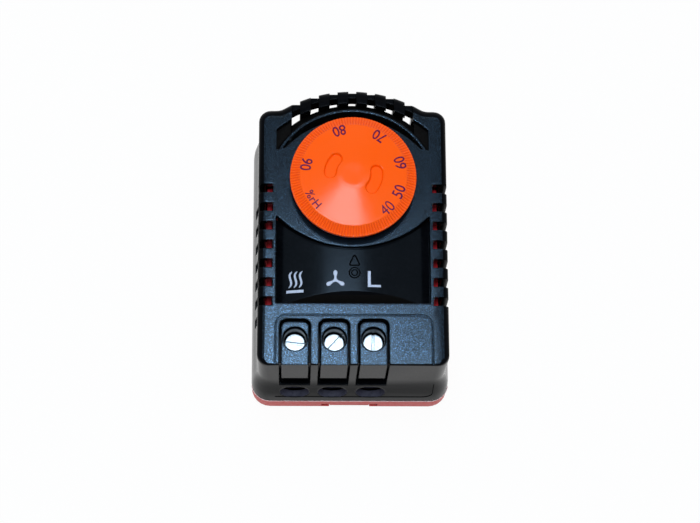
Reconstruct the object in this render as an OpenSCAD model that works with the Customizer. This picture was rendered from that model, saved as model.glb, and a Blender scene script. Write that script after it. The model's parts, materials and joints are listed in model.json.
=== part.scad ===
// DIN-rail humidity controller (enclosure hygrostat).
// X to the right, Y up the device towards the arched vent, Z out of the front; z = 0 is the
// rear face that lies against the rail. The origin is under the middle of the outline.

/* [Housing] */
// Width over the rear edge
body_w = 50; // [48:0.5:56]
// Height over the rear edge, bottom edge to arch crown
body_h = 73; // [71:0.5:80]
// Depth from the rear face to the front plate
body_d = 38; // [36:0.5:44]
// How far the rear edge flares out beyond the front on each side
flare = 1.7; // [1:0.1:2.4]
// Depth at which the flare has run out
flare_end_z = 23; // [20:0.5:26]
// Wall thickness of the cover
wall = 1.8; // [1.4:0.1:2.2]
// Drop from the arch crown to the shoulders, at the front
shoulder_drop = 5.3; // [4.5:0.1:6]
// Radius of the arch
arch_r = 33; // [31:0.5:36]
// Plan radius of the cover's corners
corner_r = 3; // [2:0.5:4]
// Rounding of the long front edges
side_round = 2; // [1:0.25:2.5]
// Rounding of the arch and shoulder front edges
top_round = 3; // [2:0.25:3.5]
// Height of the rear base's rim
base_h = 6.8; // [6.5:0.1:8]

/* [Vents] */
// Vent slots in each side
side_slots = 7; // [3:1:7]
// Distance between side slots
side_pitch = 4.81; // [4.6:0.05:5.2]
// Height of a side slot
side_slot_h = 2.2; // [1.6:0.1:2.6]
// Vent slots across the arch
top_slots = 7; // [3:2:7]
// Distance between arch slots
top_pitch = 4.7; // [4.2:0.1:4.9]
// Width of an arch slot
top_slot_w = 2; // [1.5:0.1:2.4]

/* [Front plate] */
// Half the width between the two front posts
post_x = 18.9; // [18:0.1:19.4]
// Height of the dial's axis above the middle of the outline
dial_y = 11.8; // [11.4:0.1:12.2]
// Radius of the lens plate's lower lip
lens_low_r = 26; // [24:0.5:30]
// Radius of the lens plate's upper lip
lens_up_r = 22; // [21:0.5:24]
// Drop from the front plate to the middle of the label panel
label_drop = 1.5; // [1:0.1:2]
// Further drop from the panel's middle to its sides
label_crown = 2.5; // [1.5:0.1:2.8]
// Thickness of the label panel
label_t = 1.4; // [1:0.1:1.6]

/* [Dial] */
// Outer radius of the dial
dial_r = 15.5; // [14.5:0.25:16]
// Radius of the dial's numbered face
dial_face_r = 13.06; // [12:0.1:13.4]
// Radius of the dial's flat centre
dial_centre_r = 3.7; // [3:0.1:4.4]
// Height of the dial above the front plate
dial_h = 6.4; // [6:0.1:7]
// Wall thickness of the dial's shell
dial_t = 1.4; // [1:0.1:1.6]
// Gap between the dial's skirt and the front plate
dial_gap = 0.5; // [0.3:0.1:0.8]
// Turn of the dial from its lower stop to its upper stop, degrees
dial_turn = 260; // [220:5:270]
// Radius of the dial's spindle
spindle_r = 3; // [2.5:0.25:3.25]

/* [Setting mechanism] */
// Largest radius of the cam
cam_r = 8; // [7:0.25:8.5]
// Thickness of the cam and of both levers
lever_t = 3; // [2:0.25:3.25]
// Swing of the setting lever over the dial's whole turn, degrees
setting_swing = 5; // [3:0.5:6]
// Radius of the levers' pins
pin_r = 1.5; // [1.25:0.05:1.6]
// Radius of the cam follower's nose
nose_r = 1.5; // [1.25:0.25:2]
// Radius of the dial's stop sector
stop_sector_r = 11.2; // [10.5:0.1:11.6]
// Thickness of the chassis plate
chassis_t = 1.2; // [1:0.1:1.5]
// Width of the humidity band
band_w = 4; // [3:0.25:5]
// Thickness of the humidity band
band_t = 0.3; // [0.2:0.05:0.5]
// Outer radius of the tension spring's coils
spring_r = 1.2; // [1:0.1:1.4]
// Wire diameter of the tension spring
spring_wire = 0.4; // [0.3:0.05:0.5]

/* [Switch] */
// Length of the snap switch
switch_l = 27.8; // [27:0.1:29]
// Height of the snap switch, terminal side to plunger side
switch_h = 14; // [13:0.5:14.5]
// Width of the snap switch
switch_w = 10; // [9:0.25:10.5]
// Wall thickness of the switch body
switch_wall = 1.2; // [1:0.1:1.4]
// Radius of the switch plunger
plunger_r = 1.5; // [1.2:0.1:1.7]

/* [Terminals] */
// Distance between terminals
term_pitch = 9.5; // [9:0.1:10]
// Centre of the middle terminal
term_x = -4.6; // [-5:0.1:-4]
// Width of a terminal's tower
tower_w = 6.5; // [6.3:0.1:6.8]
// Gap between a tower and its window
tower_gap = 0.6; // [0.4:0.1:0.8]
// Radius of a wire entry
wire_r = 3.7; // [3:0.1:3.8]
// Height of the wire entries above the rear face
wire_z = 13.8; // [13:0.1:14.2]
// Radius of a terminal screw's shank
screw_r = 1.5; // [1.25:0.25:1.75]
// Radius of a terminal screw's head
screw_head_r = 2.35; // [2.1:0.05:2.45]
// Rise of a clamp cage from open to closed
clamp_rise = 5; // [3:0.5:5]
// Thickness of the clamp cage's walls
cage_t = 0.9; // [0.7:0.1:1]

/* [Rail fixing] */
// Width of the mounting rail
rail_w = 35; // [34:0.5:36]
// Depth of the rail seat
rail_seat = 2.4; // [2:0.1:2.6]
// Overlap of the hook and of the latch behind the rail
rail_bite = 1.5; // [1:0.1:2]
// Width of the latch
latch_w = 14; // [12:0.5:16]
// Travel of the latch
latch_travel = 3; // [2.5:0.25:3.5]

/* [Hidden] */

$fn = 64;
over = 1;                  // how far a cut runs past the surface that it opens
run_fit = 0.05;            // radial clearance of a turning fit
slide_fit = 0.15;          // clearance between sliding or stacked mouldings
free_gap = 0.3;            // clearance between pieces that don't touch

// Colours
black = "#1c232b";
red = "#a8333c";
orange = "#ff5c01";
steel = "#c4cad2";
brass = "#c9a659";
copper = "#c07a4a";
ivory = "#d9d2bf";
grey = "#5b5f66";
clear_film = "#cfd8d6";

// Outline of the housing
front_w = body_w - 2 * flare;
crown_y = body_h / 2;
bottom_y = -body_h / 2 + flare;
shoulder_y = crown_y - shoulder_drop;
arch_y = crown_y - arch_r;
flare_start_z = base_h;
blend_r = 4;
bottom_round = 0.4;
base_round = 0.8;
roof_z = body_d - 2;
arc_steps = 6;
arch_steps = 14;

// Ring of outline points: half width w, bottom yb, shoulder ys, arch radius ra, corner radius rc
function arc(cx, cy, r, a0, a1, n) =
    [for (i = [0:n]) let (a = a0 + (a1 - a0) * i / n) [cx + r * cos(a), cy + r * sin(a)]];
function half_outline(w, yb, ys, ra, rc) = let (
        by = ys + blend_r - arch_y,
        bx = sqrt(pow(ra + blend_r, 2) - pow(by, 2)),
        a = atan2(by, bx))
    concat(arc(w - rc, yb + rc, rc, -90, 0, arc_steps),
        arc(w - rc, ys - rc, rc, 0, 90, arc_steps),
        arc(bx, ys + blend_r, blend_r, 270, 180 + a, arc_steps / 2),
        arc(0, arch_y, ra, a, 90, arch_steps));
function mirrored(p) = [for (i = [len(p) - 2:-1:0]) [-p[i][0], p[i][1]]];
function outline(w, yb, ys, ra, rc) = let (p = half_outline(w, yb, ys, ra, rc))
    concat(p, mirrored(p));
function flare_at(z) = let (t = min(1, max(0, (flare_end_z - z) / (flare_end_z - flare_start_z))))
    flare * t * t * (3 - 2 * t);
function round_in(z, r) = z <= body_d - r ? 0 : r - sqrt(max(0, r * r - pow(z - body_d + r, 2)));
function shell_ring(z, inset, rounded) = let (f = flare_at(z) - inset,
        side = rounded ? round_in(z, side_round) : 0,
        top = rounded ? round_in(z, top_round) : 0,
        low = rounded ? round_in(z, bottom_round) : 0,
        rc = max(0.6, corner_r + f))
    outline(front_w / 2 + f - side, bottom_y - f + low, shoulder_y + f - top,
        arch_r - inset - top, rc - min(side, rc - 0.5));

// A closed solid through rings of equal length, one ring at each height
module loft(rings, heights) {
    n = len(rings[0]);
    m = len(rings);
    points = [for (k = [0:m - 1], p = rings[k]) [p[0], p[1], heights[k]]];
    sides = [for (k = [0:m - 2], i = [0:n - 1]) let (a = k * n + i, b = k * n + (i + 1) % n)
        each [[a, a + n, b], [b, a + n, b + n]]];
    bottom = [[for (i = [0:n - 1]) i]];
    top = [[for (i = [n - 1:-1:0]) (m - 1) * n + i]];
    polyhedron(points, concat(sides, bottom, top));
}

flare_steps = 5;
flare_z = [for (i = [0:flare_steps]) flare_start_z
    + (flare_end_z - flare_start_z) * i / flare_steps];
round_z = [for (a = [0:15:90]) body_d - top_round + top_round * sin(a)];
shell_z = concat(flare_z, round_z);
cavity_z = concat([flare_start_z - over], [for (i = [1:flare_steps]) flare_z[i]], [roof_z]);

// A cylinder along Y from y0 to y1, at x and z
module y_cylinder(x, z, y0, y1, r) {
    translate([x, y0, z]) rotate([-90, 0, 0]) cylinder(r = r, h = y1 - y0);
}
// A box between two corners
module block(low, high) {
    translate(low) cube([high[0] - low[0], high[1] - low[1], high[2] - low[2]]);
}
// A round bar between two heights
module post(x, y, z0, z1, r) {
    translate([x, y, z0]) cylinder(r = r, h = z1 - z0);
}
// A tube between two heights
module tube(x, y, z0, z1, r, bore) {
    difference() {
        post(x, y, z0, z1, r);
        post(x, y, z0 - over, z1 + over, bore);
    }
}
// Both sides of the device
module both_sides() {
    children();
    mirror([1, 0, 0]) children();
}

// Front plate
lens_low_y = -5;
lens_low_c = lens_low_y + lens_low_r;
lens_up_y = 28.1;
lens_up_c = lens_up_y - lens_up_r;
lens_end_y = 20.1;
lens_fillet = 3;
lip_r = 21;
lip_c = 9.75;
lip_t = 0.6;
lip_end_a = 27;
lip_top_z = body_d - 0.05;
lip_low_z = 31.6;
lip_waist_z = 35.5;
lip_flare = 2.9;
lip_edge = 1.4;
rim_r = arch_r - top_round - 1.1;
label_low_y = -19.4;
label_r = (post_x * post_x + label_crown * label_crown) / (2 * label_crown);
label_top_z = body_d - label_drop;
label_side_z = label_top_z - label_crown;
chamfer_y = -15.8;
chamfer_slope = 32.2;
hub_hole_r = 5;

// Terminals
function term_at(i) = term_x + (i - 1) * term_pitch;
well_y = bottom_y + 6.6;
window_w = tower_w + 2 * tower_gap;
window_top = well_y + 5;
window_r = 1.9;
window_low_z = 18.5;
tower_top = window_top - tower_gap - 0.2;
tower_r = 1.5;
tower_low_z = 24;
well_r = 2.65;
well_mouth_r = 3.05;
well_mouth_h = 1;
tower_z = body_d - 0.3;
block_back_y = bottom_y + 2.2;
block_low_z = 8;
block_top_z = 31.2;
cavity_w = 6.8;
cage_w = 6.2;
cage_y0 = well_y - 3;
cage_y1 = well_y + 3;
cage_low_z = wire_z - 4.2;
cage_nut_t = 2.4;
ledge_t = 0.8;
ledge_z = block_top_z - ledge_t;
cage_slack = 1;
cage_top_z = ledge_z - clamp_rise - cage_slack;
head_z = block_top_z;
head_h = 1.8;
screw_low_z = 19.6;
slot_w = 0.6;
slot_d = 0.8;
slot_angle = [-6, 48, 88];
busbar_z = 17.8;
busbar_t = 1;
busbar_w = 3.6;

// Mechanism levels
floor_z = 5;
chassis_z = 16;
deck_z = chassis_z + chassis_t;
guard_t = 1.2;
wall_x1 = front_w / 2 - wall - 0.4;
wall_x0 = wall_x1 - guard_t;
chassis_x = wall_x0 - 1.3;
switch_z0 = deck_z;
mid_z = switch_z0 + switch_w / 2;
lever_z0 = mid_z - lever_t / 2;
lever_z1 = mid_z + lever_t / 2;
bracket_t = 1;
bracket_x = stop_sector_r + bracket_t + 1.2;
bracket_w = 11;
bracket_y0 = dial_y - bracket_w / 2;
bracket_y1 = dial_y + bracket_w / 2;
bracket_z = 29.4;
post_r = 3;
small_screw_r = 1.25;
chassis_screw_l = 8;
small_head_r = 2.2;
small_head_h = 1.7;

// Switch
switch_x1 = term_at(2) + 4.5;
switch_x0 = switch_x1 - switch_l;
switch_y0 = -18.5;
block_front_y = switch_y0 - 2;
switch_y1 = switch_y0 + switch_h;
plunger_x = -5;
blade_y = switch_y1 - 5.1;
blade_t = 0.3;
blade_pivot_x = term_at(2);
blade_tip_x = -11;
rivet_r = 1.4;
rivet_t = 0.8;
contact_gap = 1.2;
plunger_out = 1.6;
plunger_tip_y = switch_y1 + plunger_out;
switch_lid_t = switch_wall;
lug_z = busbar_z + busbar_t + slide_fit / 3;
lug_t = 0.8;

// Sensor lever
spring_x = chassis_x - 1.4;
sensor_x = spring_x - 3.2;
sensor_bar = 2.4;
sensor_y = plunger_tip_y + 0.1 + sensor_bar / 2;
band_x = -chassis_x + 3.1;
boss_r = 2.6;
pin_top_z = mid_z + 3.6;

// Setting lever and cam
follow_gap = 0.1;
eye_t = 1;
eye_r = 0.6;
eye_in = 1.2;
setting_x = -11;
setting_y = 26;
nose_y = dial_y + cam_r + follow_gap + nose_r;
cam_steps = 60;
cam_z0 = lever_z0 + 0.2;
cam_z1 = lever_z1 - 0.2;
stop_z0 = deck_z + 1.2;
stop_t = 1.5;
stop_pin_r = 1;
stop_pin_orbit = 10.2;
stop_half = asin(stop_pin_r / stop_pin_orbit) + 0.4;
stop_sector = 360 - dial_turn - 2 * stop_half;
setting_bar_y1 = setting_y + 1;
setting_bar_y0 = setting_bar_y1 - 2.6;

// Chassis plate and the posts that carry it
chassis_y0 = switch_y0 - 0.9;
chassis_y1 = setting_y + 2;
screw_posts = [[-chassis_x + 2.6, chassis_y1 - post_r], [chassis_x - 2.6, chassis_y1 - post_r],
    [-chassis_x + 2.4, dial_y - 7.3], [chassis_x - 3.1, switch_y0 + 3]];

// Follower's centre relative to the dial axis when the lever has swung back by t degrees
function nose_at(t) = let (dx = -setting_x, dy = nose_y - setting_y)
    [setting_x + dx * cos(t) + dy * sin(t), setting_y - dx * sin(t) + dy * cos(t) - dial_y];
function cam_point(turn) = let (p = nose_at(setting_swing * turn / dial_turn),
        a = atan2(p[1], p[0]) + turn, r = norm(p) - nose_r - follow_gap) [r * cos(a), r * sin(a)];
cam_end = cam_point(dial_turn);
cam_end_r = norm(cam_end);
function cam_back(k) = let (s = k * k * (3 - 2 * k), a = 90 + dial_turn + (360 - dial_turn) * k,
        r = cam_end_r + (cam_r - cam_end_r) * s) [r * cos(a), r * sin(a)];
cam_outline = concat([for (i = [0:cam_steps]) cam_point(dial_turn * i / cam_steps)],
    [for (k = [0.15:0.1:0.85]) cam_back(k)]);

// Rail fixing
seat_y = rail_w / 2 + 0.2;
hook_z = 1;
latch_z0 = 1.2;
latch_t = 2;
latch_low_y = -crown_y + 0.4;
latch_top_y = -seat_y - slide_fit;
spring_slot_w = 4;
spring_slot_y0 = -crown_y + 4.3;
peg_t = 1;
pressed_spring_l = 4.55;
spring_slot_y1 = spring_slot_y0 + slide_fit + peg_t + pressed_spring_l + latch_travel;
latch_spring_r = 0.85;
latch_wire = 0.3;
wall_y0 = -20;
wall_y1 = 12;
wall_top_z = 31;
catch_z = 13.4;
catch_y = [-14, 6];
catch_l = 4;

// The lens plate's outline edge above the dial, with a fillet that runs into each post
module upper_opening_2d() {
    difference() {
        intersection() {
            translate([-post_x, lens_end_y]) square([2 * post_x, crown_y]);
            translate([0, arch_y]) circle(r = rim_r);
        }
        translate([0, lens_up_c]) circle(r = lens_up_r);
        fillet_x = sqrt(pow(lens_up_r + lens_fillet, 2)
            - pow(lens_end_y + lens_fillet - lens_up_c, 2));
        a = atan2(lens_end_y + lens_fillet - lens_up_c, fillet_x);
        for (s = [-1, 1]) scale([s, 1]) polygon(concat([[0, lens_end_y - over],
            [fillet_x, lens_end_y - over]],
            arc(fillet_x, lens_end_y + lens_fillet, lens_fillet, 270, 180 + a, arc_steps)));
    }
}

// Outline of the label recess between the posts
module label_2d(grow = 0) {
    difference() {
        translate([-post_x - grow, label_low_y - grow])
            square([2 * (post_x + grow), lens_low_c - label_low_y]);
        translate([0, lens_low_c]) circle(r = lens_low_r - grow, $fn = 96);
        translate([-body_w, lens_low_c - lens_low_r * 0.7]) square([2 * body_w, body_h]);
    }
}

// Space under the label panel's face: a crowned sheet cut off by the sloping chamfer
module label_solid(sink) {
    intersection() {
        y_cylinder(0, label_top_z - label_r, label_low_y - 2, lens_low_c, label_r - sink);
        translate([-body_w, chamfer_y, label_top_z - sink]) rotate([chamfer_slope, 0, 0])
            translate([0, -body_h, -body_d]) cube([2 * body_w, body_h * 2, body_d]);
    }
}

module window_2d(w, top, r) {
    translate([-w / 2, bottom_y - 3 * over]) square([w, top - r - bottom_y + 3 * over]);
    translate([-w / 2 + r, bottom_y]) square([w - 2 * r, top - bottom_y]);
    for (s = [-1, 1]) translate([s * (w / 2 - r), top - r]) circle(r = r);
}

module engraved_frame() {
    line_w = 0.35;
    x0 = -19;
    x1 = 19.45;
    top = window_top + 1.1;
    r = 3;
    module rounded(inset) {
        translate([x0 + inset, bottom_y - over]) square([x1 - x0 - 2 * inset,
            top - r - bottom_y + over]);
        translate([x0 + r, bottom_y]) square([x1 - x0 - 2 * r, top - inset - bottom_y]);
        for (x = [x0 + r, x1 - r]) translate([x, top - r]) circle(r = r - inset);
    }
    difference() {
        rounded(0);
        rounded(line_w);
    }
}

module front_cover() color(black) {
    slot_x = 19.6;
    side_slot_z = 15;
    side_slot_y = 10.05;
    notch_d = 2.5;
    web_h = 4;
    web_drop = 0.5;
    rim_clear = 0.3;
    top_slot_z = 14;
    frame_d = 0.2;
    lining = 0.9;
    floor_x = (top_slots - 1) / 2 * top_pitch + top_slot_w / 2 + 0.3;
    difference() {
        union() {
            difference() {
                loft([for (z = shell_z) shell_ring(z, 0, true)], shell_z);
                loft([for (z = cavity_z) shell_ring(z, wall, false)], cavity_z);
                // Opening above the lens plate
                translate([0, 0, roof_z - over]) linear_extrude(3 * over + top_round)
                    upper_opening_2d();
            }
            // Lining of the label recess
            translate([0, 0, label_side_z - label_t]) linear_extrude(roof_z - label_side_z
                + label_t + over / 2) label_2d(lining);
            // Curved lip over the dial
            translate([0, lip_c, 0]) rotate([0, 0, lip_end_a])
                rotate_extrude(angle = 180 - 2 * lip_end_a, $fn = 96)
                    polygon([[lip_r - lip_t, lip_top_z], [lip_r, lip_top_z],
                        [lip_r + lip_flare / 3, lip_waist_z],
                        [lip_r + lip_flare, lip_low_z + lip_edge],
                        [lip_r + lip_flare, lip_low_z], [lip_r - lip_t, lip_low_z]]);
            // Floors under the two ends of the opening, beside the outermost vents
            both_sides() intersection() {
                block([floor_x, lens_end_y - 0.5, roof_z - 1],
                    [post_x + 1.6, crown_y, roof_z + 0.3]);
                translate([0, arch_y, 0]) cylinder(r = rim_r + 0.5, h = body_d);
            }
            // Ledges that the base's catches hook over
            both_sides() for (y = catch_y) block([wall_x1 + 0.5, y, catch_z - 1.2],
                [front_w / 2, y + catch_l, catch_z]);
            // Collar behind the wire entries
            block([term_at(0) - window_w / 2 - 1, bottom_y + wall / 2, wire_z - wire_r - 1.4],
                [term_at(2) + window_w / 2 + 1, block_back_y - slide_fit, window_low_z]);
        }
        // Label recess and the relief behind its panel
        difference() {
            translate([0, 0, label_side_z - over]) linear_extrude(body_d) label_2d();
            label_solid(0);
        }
        intersection() {
            translate([0, 0, label_side_z - 2 * over]) linear_extrude(body_d) label_2d();
            label_solid(label_t);
        }
        // Dial hub's hole
        post(0, dial_y, roof_z - 2 * over, body_d + over, hub_hole_r);
        // Side vents, cut through the rounded corner
        both_sides() for (i = [0:side_slots - 1])
            block([slot_x, side_slot_y - i * side_pitch - side_slot_h / 2, side_slot_z],
                [body_w, side_slot_y - i * side_pitch + side_slot_h / 2, body_d + over]);
        // Arch vents: a notch in the rim, a sunk web, then an open slot
        for (i = [0:top_slots - 1]) let (x = (i - (top_slots - 1) / 2) * top_pitch,
                start_y = arch_y + sqrt(pow(rim_r - rim_clear, 2)
                    - pow(abs(x) + top_slot_w / 2, 2))) translate([x, 0, 0]) {
            block([-top_slot_w / 2, start_y, body_d - notch_d],
                [top_slot_w / 2, crown_y + over, body_d + over]);
            block([-top_slot_w / 2, start_y, top_slot_z],
                [top_slot_w / 2, crown_y + over, body_d - notch_d - web_h]);
        }
        for (i = [0:top_slots - 1]) let (x = (i - (top_slots - 1) / 2) * top_pitch,
                y = arch_y + sqrt(pow(arch_r, 2) - x * x))
            block([x - top_slot_w / 2, y - web_drop, top_slot_z],
                [x + top_slot_w / 2, y + over, body_d + over]);
        // Terminal windows, which run over the bottom edge
        for (i = [0:2]) translate([term_at(i), 0, window_low_z])
            linear_extrude(body_d) window_2d(window_w, window_top, window_r);
        // Wire entries
        for (i = [0:2]) y_cylinder(term_at(i), wire_z, -body_h / 2 - over, block_back_y, wire_r);
        // Engraved frame on the terminal field
        translate([0, 0, body_d - frame_d]) linear_extrude(over) engraved_frame();
    }
}

module rear_base() color(red) {
    rim = 2;
    rib_z = [0, base_round * 0.3, base_round, base_h];
    rib_in = [base_round, base_round * 0.3, 0, 0];
    difference() {
        union() {
            difference() {
                loft([for (k = [0:3]) shell_ring(0, rib_in[k], false)], rib_z);
                translate([0, 0, floor_z]) linear_extrude(base_h)
                    polygon(shell_ring(0, rim, false));
            }
            // Side walls behind the vents, with the catches that hold the cover
            both_sides() {
                block([wall_x0, wall_y0, floor_z - over], [wall_x1, wall_y1, wall_top_z]);
                for (y = catch_y) block([wall_x1 - over / 2, y, catch_z + slide_fit],
                    [wall_x1 + 1.2, y + catch_l, catch_z + slide_fit + 1.4]);
            }
            // Posts for the chassis
            for (p = screw_posts) post(p[0], p[1], floor_z - over, chassis_z, post_r);
            // Terminal block's bearers
            for (x = [term_at(0) - 0.9, term_at(2) + 1.1]) block([x - 2, block_back_y + 1, floor_z - over],
                [x + 2, block_front_y, block_low_z]);
        }
        // Rail seat with the fixed hook left standing
        difference() {
            block([-body_w, -seat_y, -over], [body_w, seat_y, rail_seat]);
            block([-body_w, seat_y - rail_bite, -over], [body_w, body_h, hook_z]);
        }
        block([-body_w, -seat_y, -over], [body_w, seat_y - rail_bite, rail_seat]);
        // Latch pocket, open to the rear and at the bottom edge
        block([-latch_w / 2 - slide_fit, -body_h, latch_z0 - slide_fit],
            [latch_w / 2 + slide_fit, -seat_y + over, latch_z0 + latch_t + slide_fit]);
        block([-latch_w / 2 + 2 - slide_fit, -body_h, -over],
            [latch_w / 2 - 2 + slide_fit, -seat_y + over, latch_z0]);
        // Pilot holes
        for (p = screw_posts) post(p[0], p[1], floor_z, chassis_z + over,
            small_screw_r + run_fit / 2);
    }
    // Peg that the latch spring pushes against
    block([-spring_slot_w / 2 + free_gap, spring_slot_y0 + slide_fit, latch_z0],
        [spring_slot_w / 2 - free_gap, spring_slot_y0 + slide_fit + peg_t,
            latch_z0 + latch_t + slide_fit + 0.5]);
}

module din_latch() color(red) {
    bar_x = latch_w / 2;
    tooth_x = latch_w / 2 - 2;
    difference() {
        union() {
            block([-bar_x, latch_low_y, latch_z0], [bar_x, latch_top_y, latch_z0 + latch_t]);
            block([-tooth_x, latch_low_y, 0.2], [tooth_x, latch_top_y, latch_z0 + over / 2]);
            block([-tooth_x, latch_top_y - over, 0.2],
                [tooth_x, -seat_y + rail_bite, hook_z]);
        }
        // Window for the spring and the base's peg
        block([-spring_slot_w / 2, spring_slot_y0, -over],
            [spring_slot_w / 2, spring_slot_y1, latch_z0 + latch_t + over]);
        // Screwdriver slot
        block([-2.5, latch_low_y + 1, -over], [2.5, latch_low_y + 2, 1.6]);
        // Ramp that lets the rail push the tooth aside
        translate([-body_w, -seat_y + rail_bite, -0.6]) rotate([30, 0, 0])
            translate([0, -2 * rail_bite, -2]) cube([2 * body_w, 4 * rail_bite, 2]);
    }
}

// A round wire carried along a path, its section turned as little as the path allows
function unit(v) = v / norm(v);
function heading(p, i) = unit(p[min(i + 1, len(p) - 1)] - p[max(i - 1, 0)]);
function sides_of(p, i, n) = i == len(p) ? [] : let (t = heading(p, i), m = unit(n - (n * t) * t))
    concat([m], sides_of(p, i + 1, m));
module wire(path, diameter, start, sides = 6) {
    last = len(path) - 1;
    normals = sides_of(path, 0, start);
    points = [for (i = [0:last], k = [0:sides - 1]) let (a = 360 * k / sides)
        path[i] + diameter / 2 * (cos(a) * normals[i]
            + sin(a) * cross(heading(path, i), normals[i]))];
    skin = [for (i = [0:last - 1], k = [0:sides - 1]) let (a = i * sides + k,
            b = i * sides + (k + 1) % sides)
        each [[a, a + sides, b], [b, a + sides, b + sides]]];
    polyhedron(points, concat(skin, [[for (k = [0:sides - 1]) k]],
        [[for (k = [sides - 1:-1:0]) last * sides + k]]));
}
// Points of a coil about +Z, outer radius r, from z0 to z1
coil_steps = 12;
function coil_path(r, wire, turns, z0, z1) = [for (i = [0:turns * coil_steps])
    let (a = 360 * i / coil_steps, q = r - wire / 2)
    [q * cos(a), q * sin(a), z0 + wire / 2 + (z1 - z0 - wire) * i / (turns * coil_steps)]];

module latch_spring() color(steel) {
    translate([0, spring_slot_y0 + slide_fit + peg_t + 0.05, latch_z0 + latch_t / 2])
        rotate([-90, 0, 0]) wire(coil_path(latch_spring_r, latch_wire, 7, 0, spring_slot_y1
            - spring_slot_y0 - slide_fit - peg_t - 0.1), latch_wire, [1, 0, 0]);
}

dial_top_z = body_d + dial_h;
dial_rim_z = body_d + 3.9;
dial_face_z = body_d + 5.1;
hub_r = 4.6;

// A kidney-shaped finger recess from a0 to a1 degrees round the dial's axis
module dial_pocket(a0, a1) {
    r0 = 4;
    r1 = 7.3;
    mid = (r0 + r1) / 2;
    half = (r1 - r0) / 2;
    b0 = a0 + asin(half / mid);
    b1 = a1 - asin(half / mid);
    translate([0, 0, dial_face_z + 0.35]) linear_extrude(3) polygon(concat(
        arc(0, 0, r1, b0, b1, 12),
        arc(mid * cos(b1), mid * sin(b1), half, b1 + 15, b1 + 165, 10),
        arc(0, 0, r0, b1, b0, 8),
        arc(mid * cos(b0), mid * sin(b0), half, b0 + 195, b0 + 345, 10)));
}

module setpoint_dial() color(orange) {
    skirt_z = body_d + dial_gap;
    translate([0, dial_y, 0]) difference() {
        rotate_extrude($fn = 120) polygon([
            [0, dial_top_z], [dial_centre_r, dial_top_z - 0.05], [dial_face_r, dial_face_z],
            [dial_r, dial_rim_z], [dial_r, dial_rim_z - 1], [dial_r - 0.9, skirt_z],
            [dial_r - 0.9 - dial_t, skirt_z], [dial_r - dial_t - 0.4, dial_rim_z - 1],
            [dial_face_r - dial_t, dial_rim_z - 0.4], [hub_r, dial_rim_z],
            [hub_r, roof_z - 0.5], [0, roof_z - 0.5]]);
        // Blind bore for the spindle
        translate([0, 0, roof_z - over]) cylinder(r = spindle_r + run_fit / 2,
            h = dial_rim_z - roof_z + over);
        dial_pocket(122, 193);
        dial_pocket(-55, 24);
    }
}

module dial_spindle() color(ivory) {
    post(0, dial_y, chassis_z - 3, dial_rim_z - free_gap, spindle_r);
    post(0, dial_y, bracket_z - free_gap - 1.2, bracket_z - free_gap, spindle_r + 1.2);
}

module setting_cam() color(ivory) {
    translate([0, dial_y, 0]) difference() {
        union() {
            translate([0, 0, cam_z0]) linear_extrude(cam_z1 - cam_z0) polygon(cam_outline);
            translate([0, 0, stop_z0]) rotate([0, 0, -stop_sector - stop_half])
                rotate_extrude(angle = stop_sector, $fn = 96)
                    translate([spindle_r + 1, 0]) square([stop_sector_r - spindle_r - 1, stop_t]);
            translate([0, 0, stop_z0]) cylinder(r = spindle_r + 2, h = cam_z1 + 1 - stop_z0);
        }
        translate([0, 0, deck_z]) cylinder(r = spindle_r + run_fit / 2, h = body_d);
    }
}

module cam_ring() color(steel) {
    translate([0, dial_y, 0]) difference() {
        tube(0, 0, cam_z1 + 1 + run_fit, cam_z1 + 1.8, spindle_r + 1.6, spindle_r + run_fit / 2);
        block([-1, 0, cam_z1], [1, body_h, cam_z1 + 3]);
    }
}

module spindle_bracket() color(steel) {
    tab_w = 4;
    difference() {
        union() {
            block([-bracket_x, bracket_y0, bracket_z], [bracket_x, bracket_y1,
                bracket_z + bracket_t]);
            both_sides() {
                block([bracket_x - bracket_t, bracket_y0, deck_z], [bracket_x, bracket_y1,
                    bracket_z + bracket_t]);
                block([bracket_x - bracket_t, dial_y - tab_w / 2, chassis_z - 1],
                    [bracket_x, dial_y + tab_w / 2, deck_z + over]);
            }
        }
        post(0, dial_y, bracket_z - over, body_d, spindle_r + 1);
    }
}

band_low_y = sensor_y + sensor_bar / 2;
band_high_y = 19.2;
tab_y0 = band_high_y + 0.8;
tab_y1 = tab_y0 + chassis_t;
calibration_r = 1;
calibration_head_l = 1.25;
band_end = 0.6;
crimp_w = 3;
crimp_l = 2.4;
crimp_t = 0.3;

module upper_bush() color(brass) {
    difference() {
        union() {
            post(0, dial_y, bracket_z, bracket_z + bracket_t + 0.2, spindle_r + 1 - run_fit / 2);
            post(0, dial_y, bracket_z + bracket_t + run_fit, bracket_z + bracket_t + 1,
                spindle_r + 2);
        }
        post(0, dial_y, bracket_z - over, body_d, spindle_r + run_fit);
    }
}

module lower_bush() color(brass) {
    difference() {
        union() {
            post(0, dial_y, chassis_z - 3, deck_z, spindle_r + 1 - run_fit / 2);
            post(0, dial_y, chassis_z - 1, chassis_z - run_fit, spindle_r + 2);
        }
        post(0, dial_y, chassis_z - 3 - over, deck_z + over, spindle_r + run_fit);
    }
}

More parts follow.
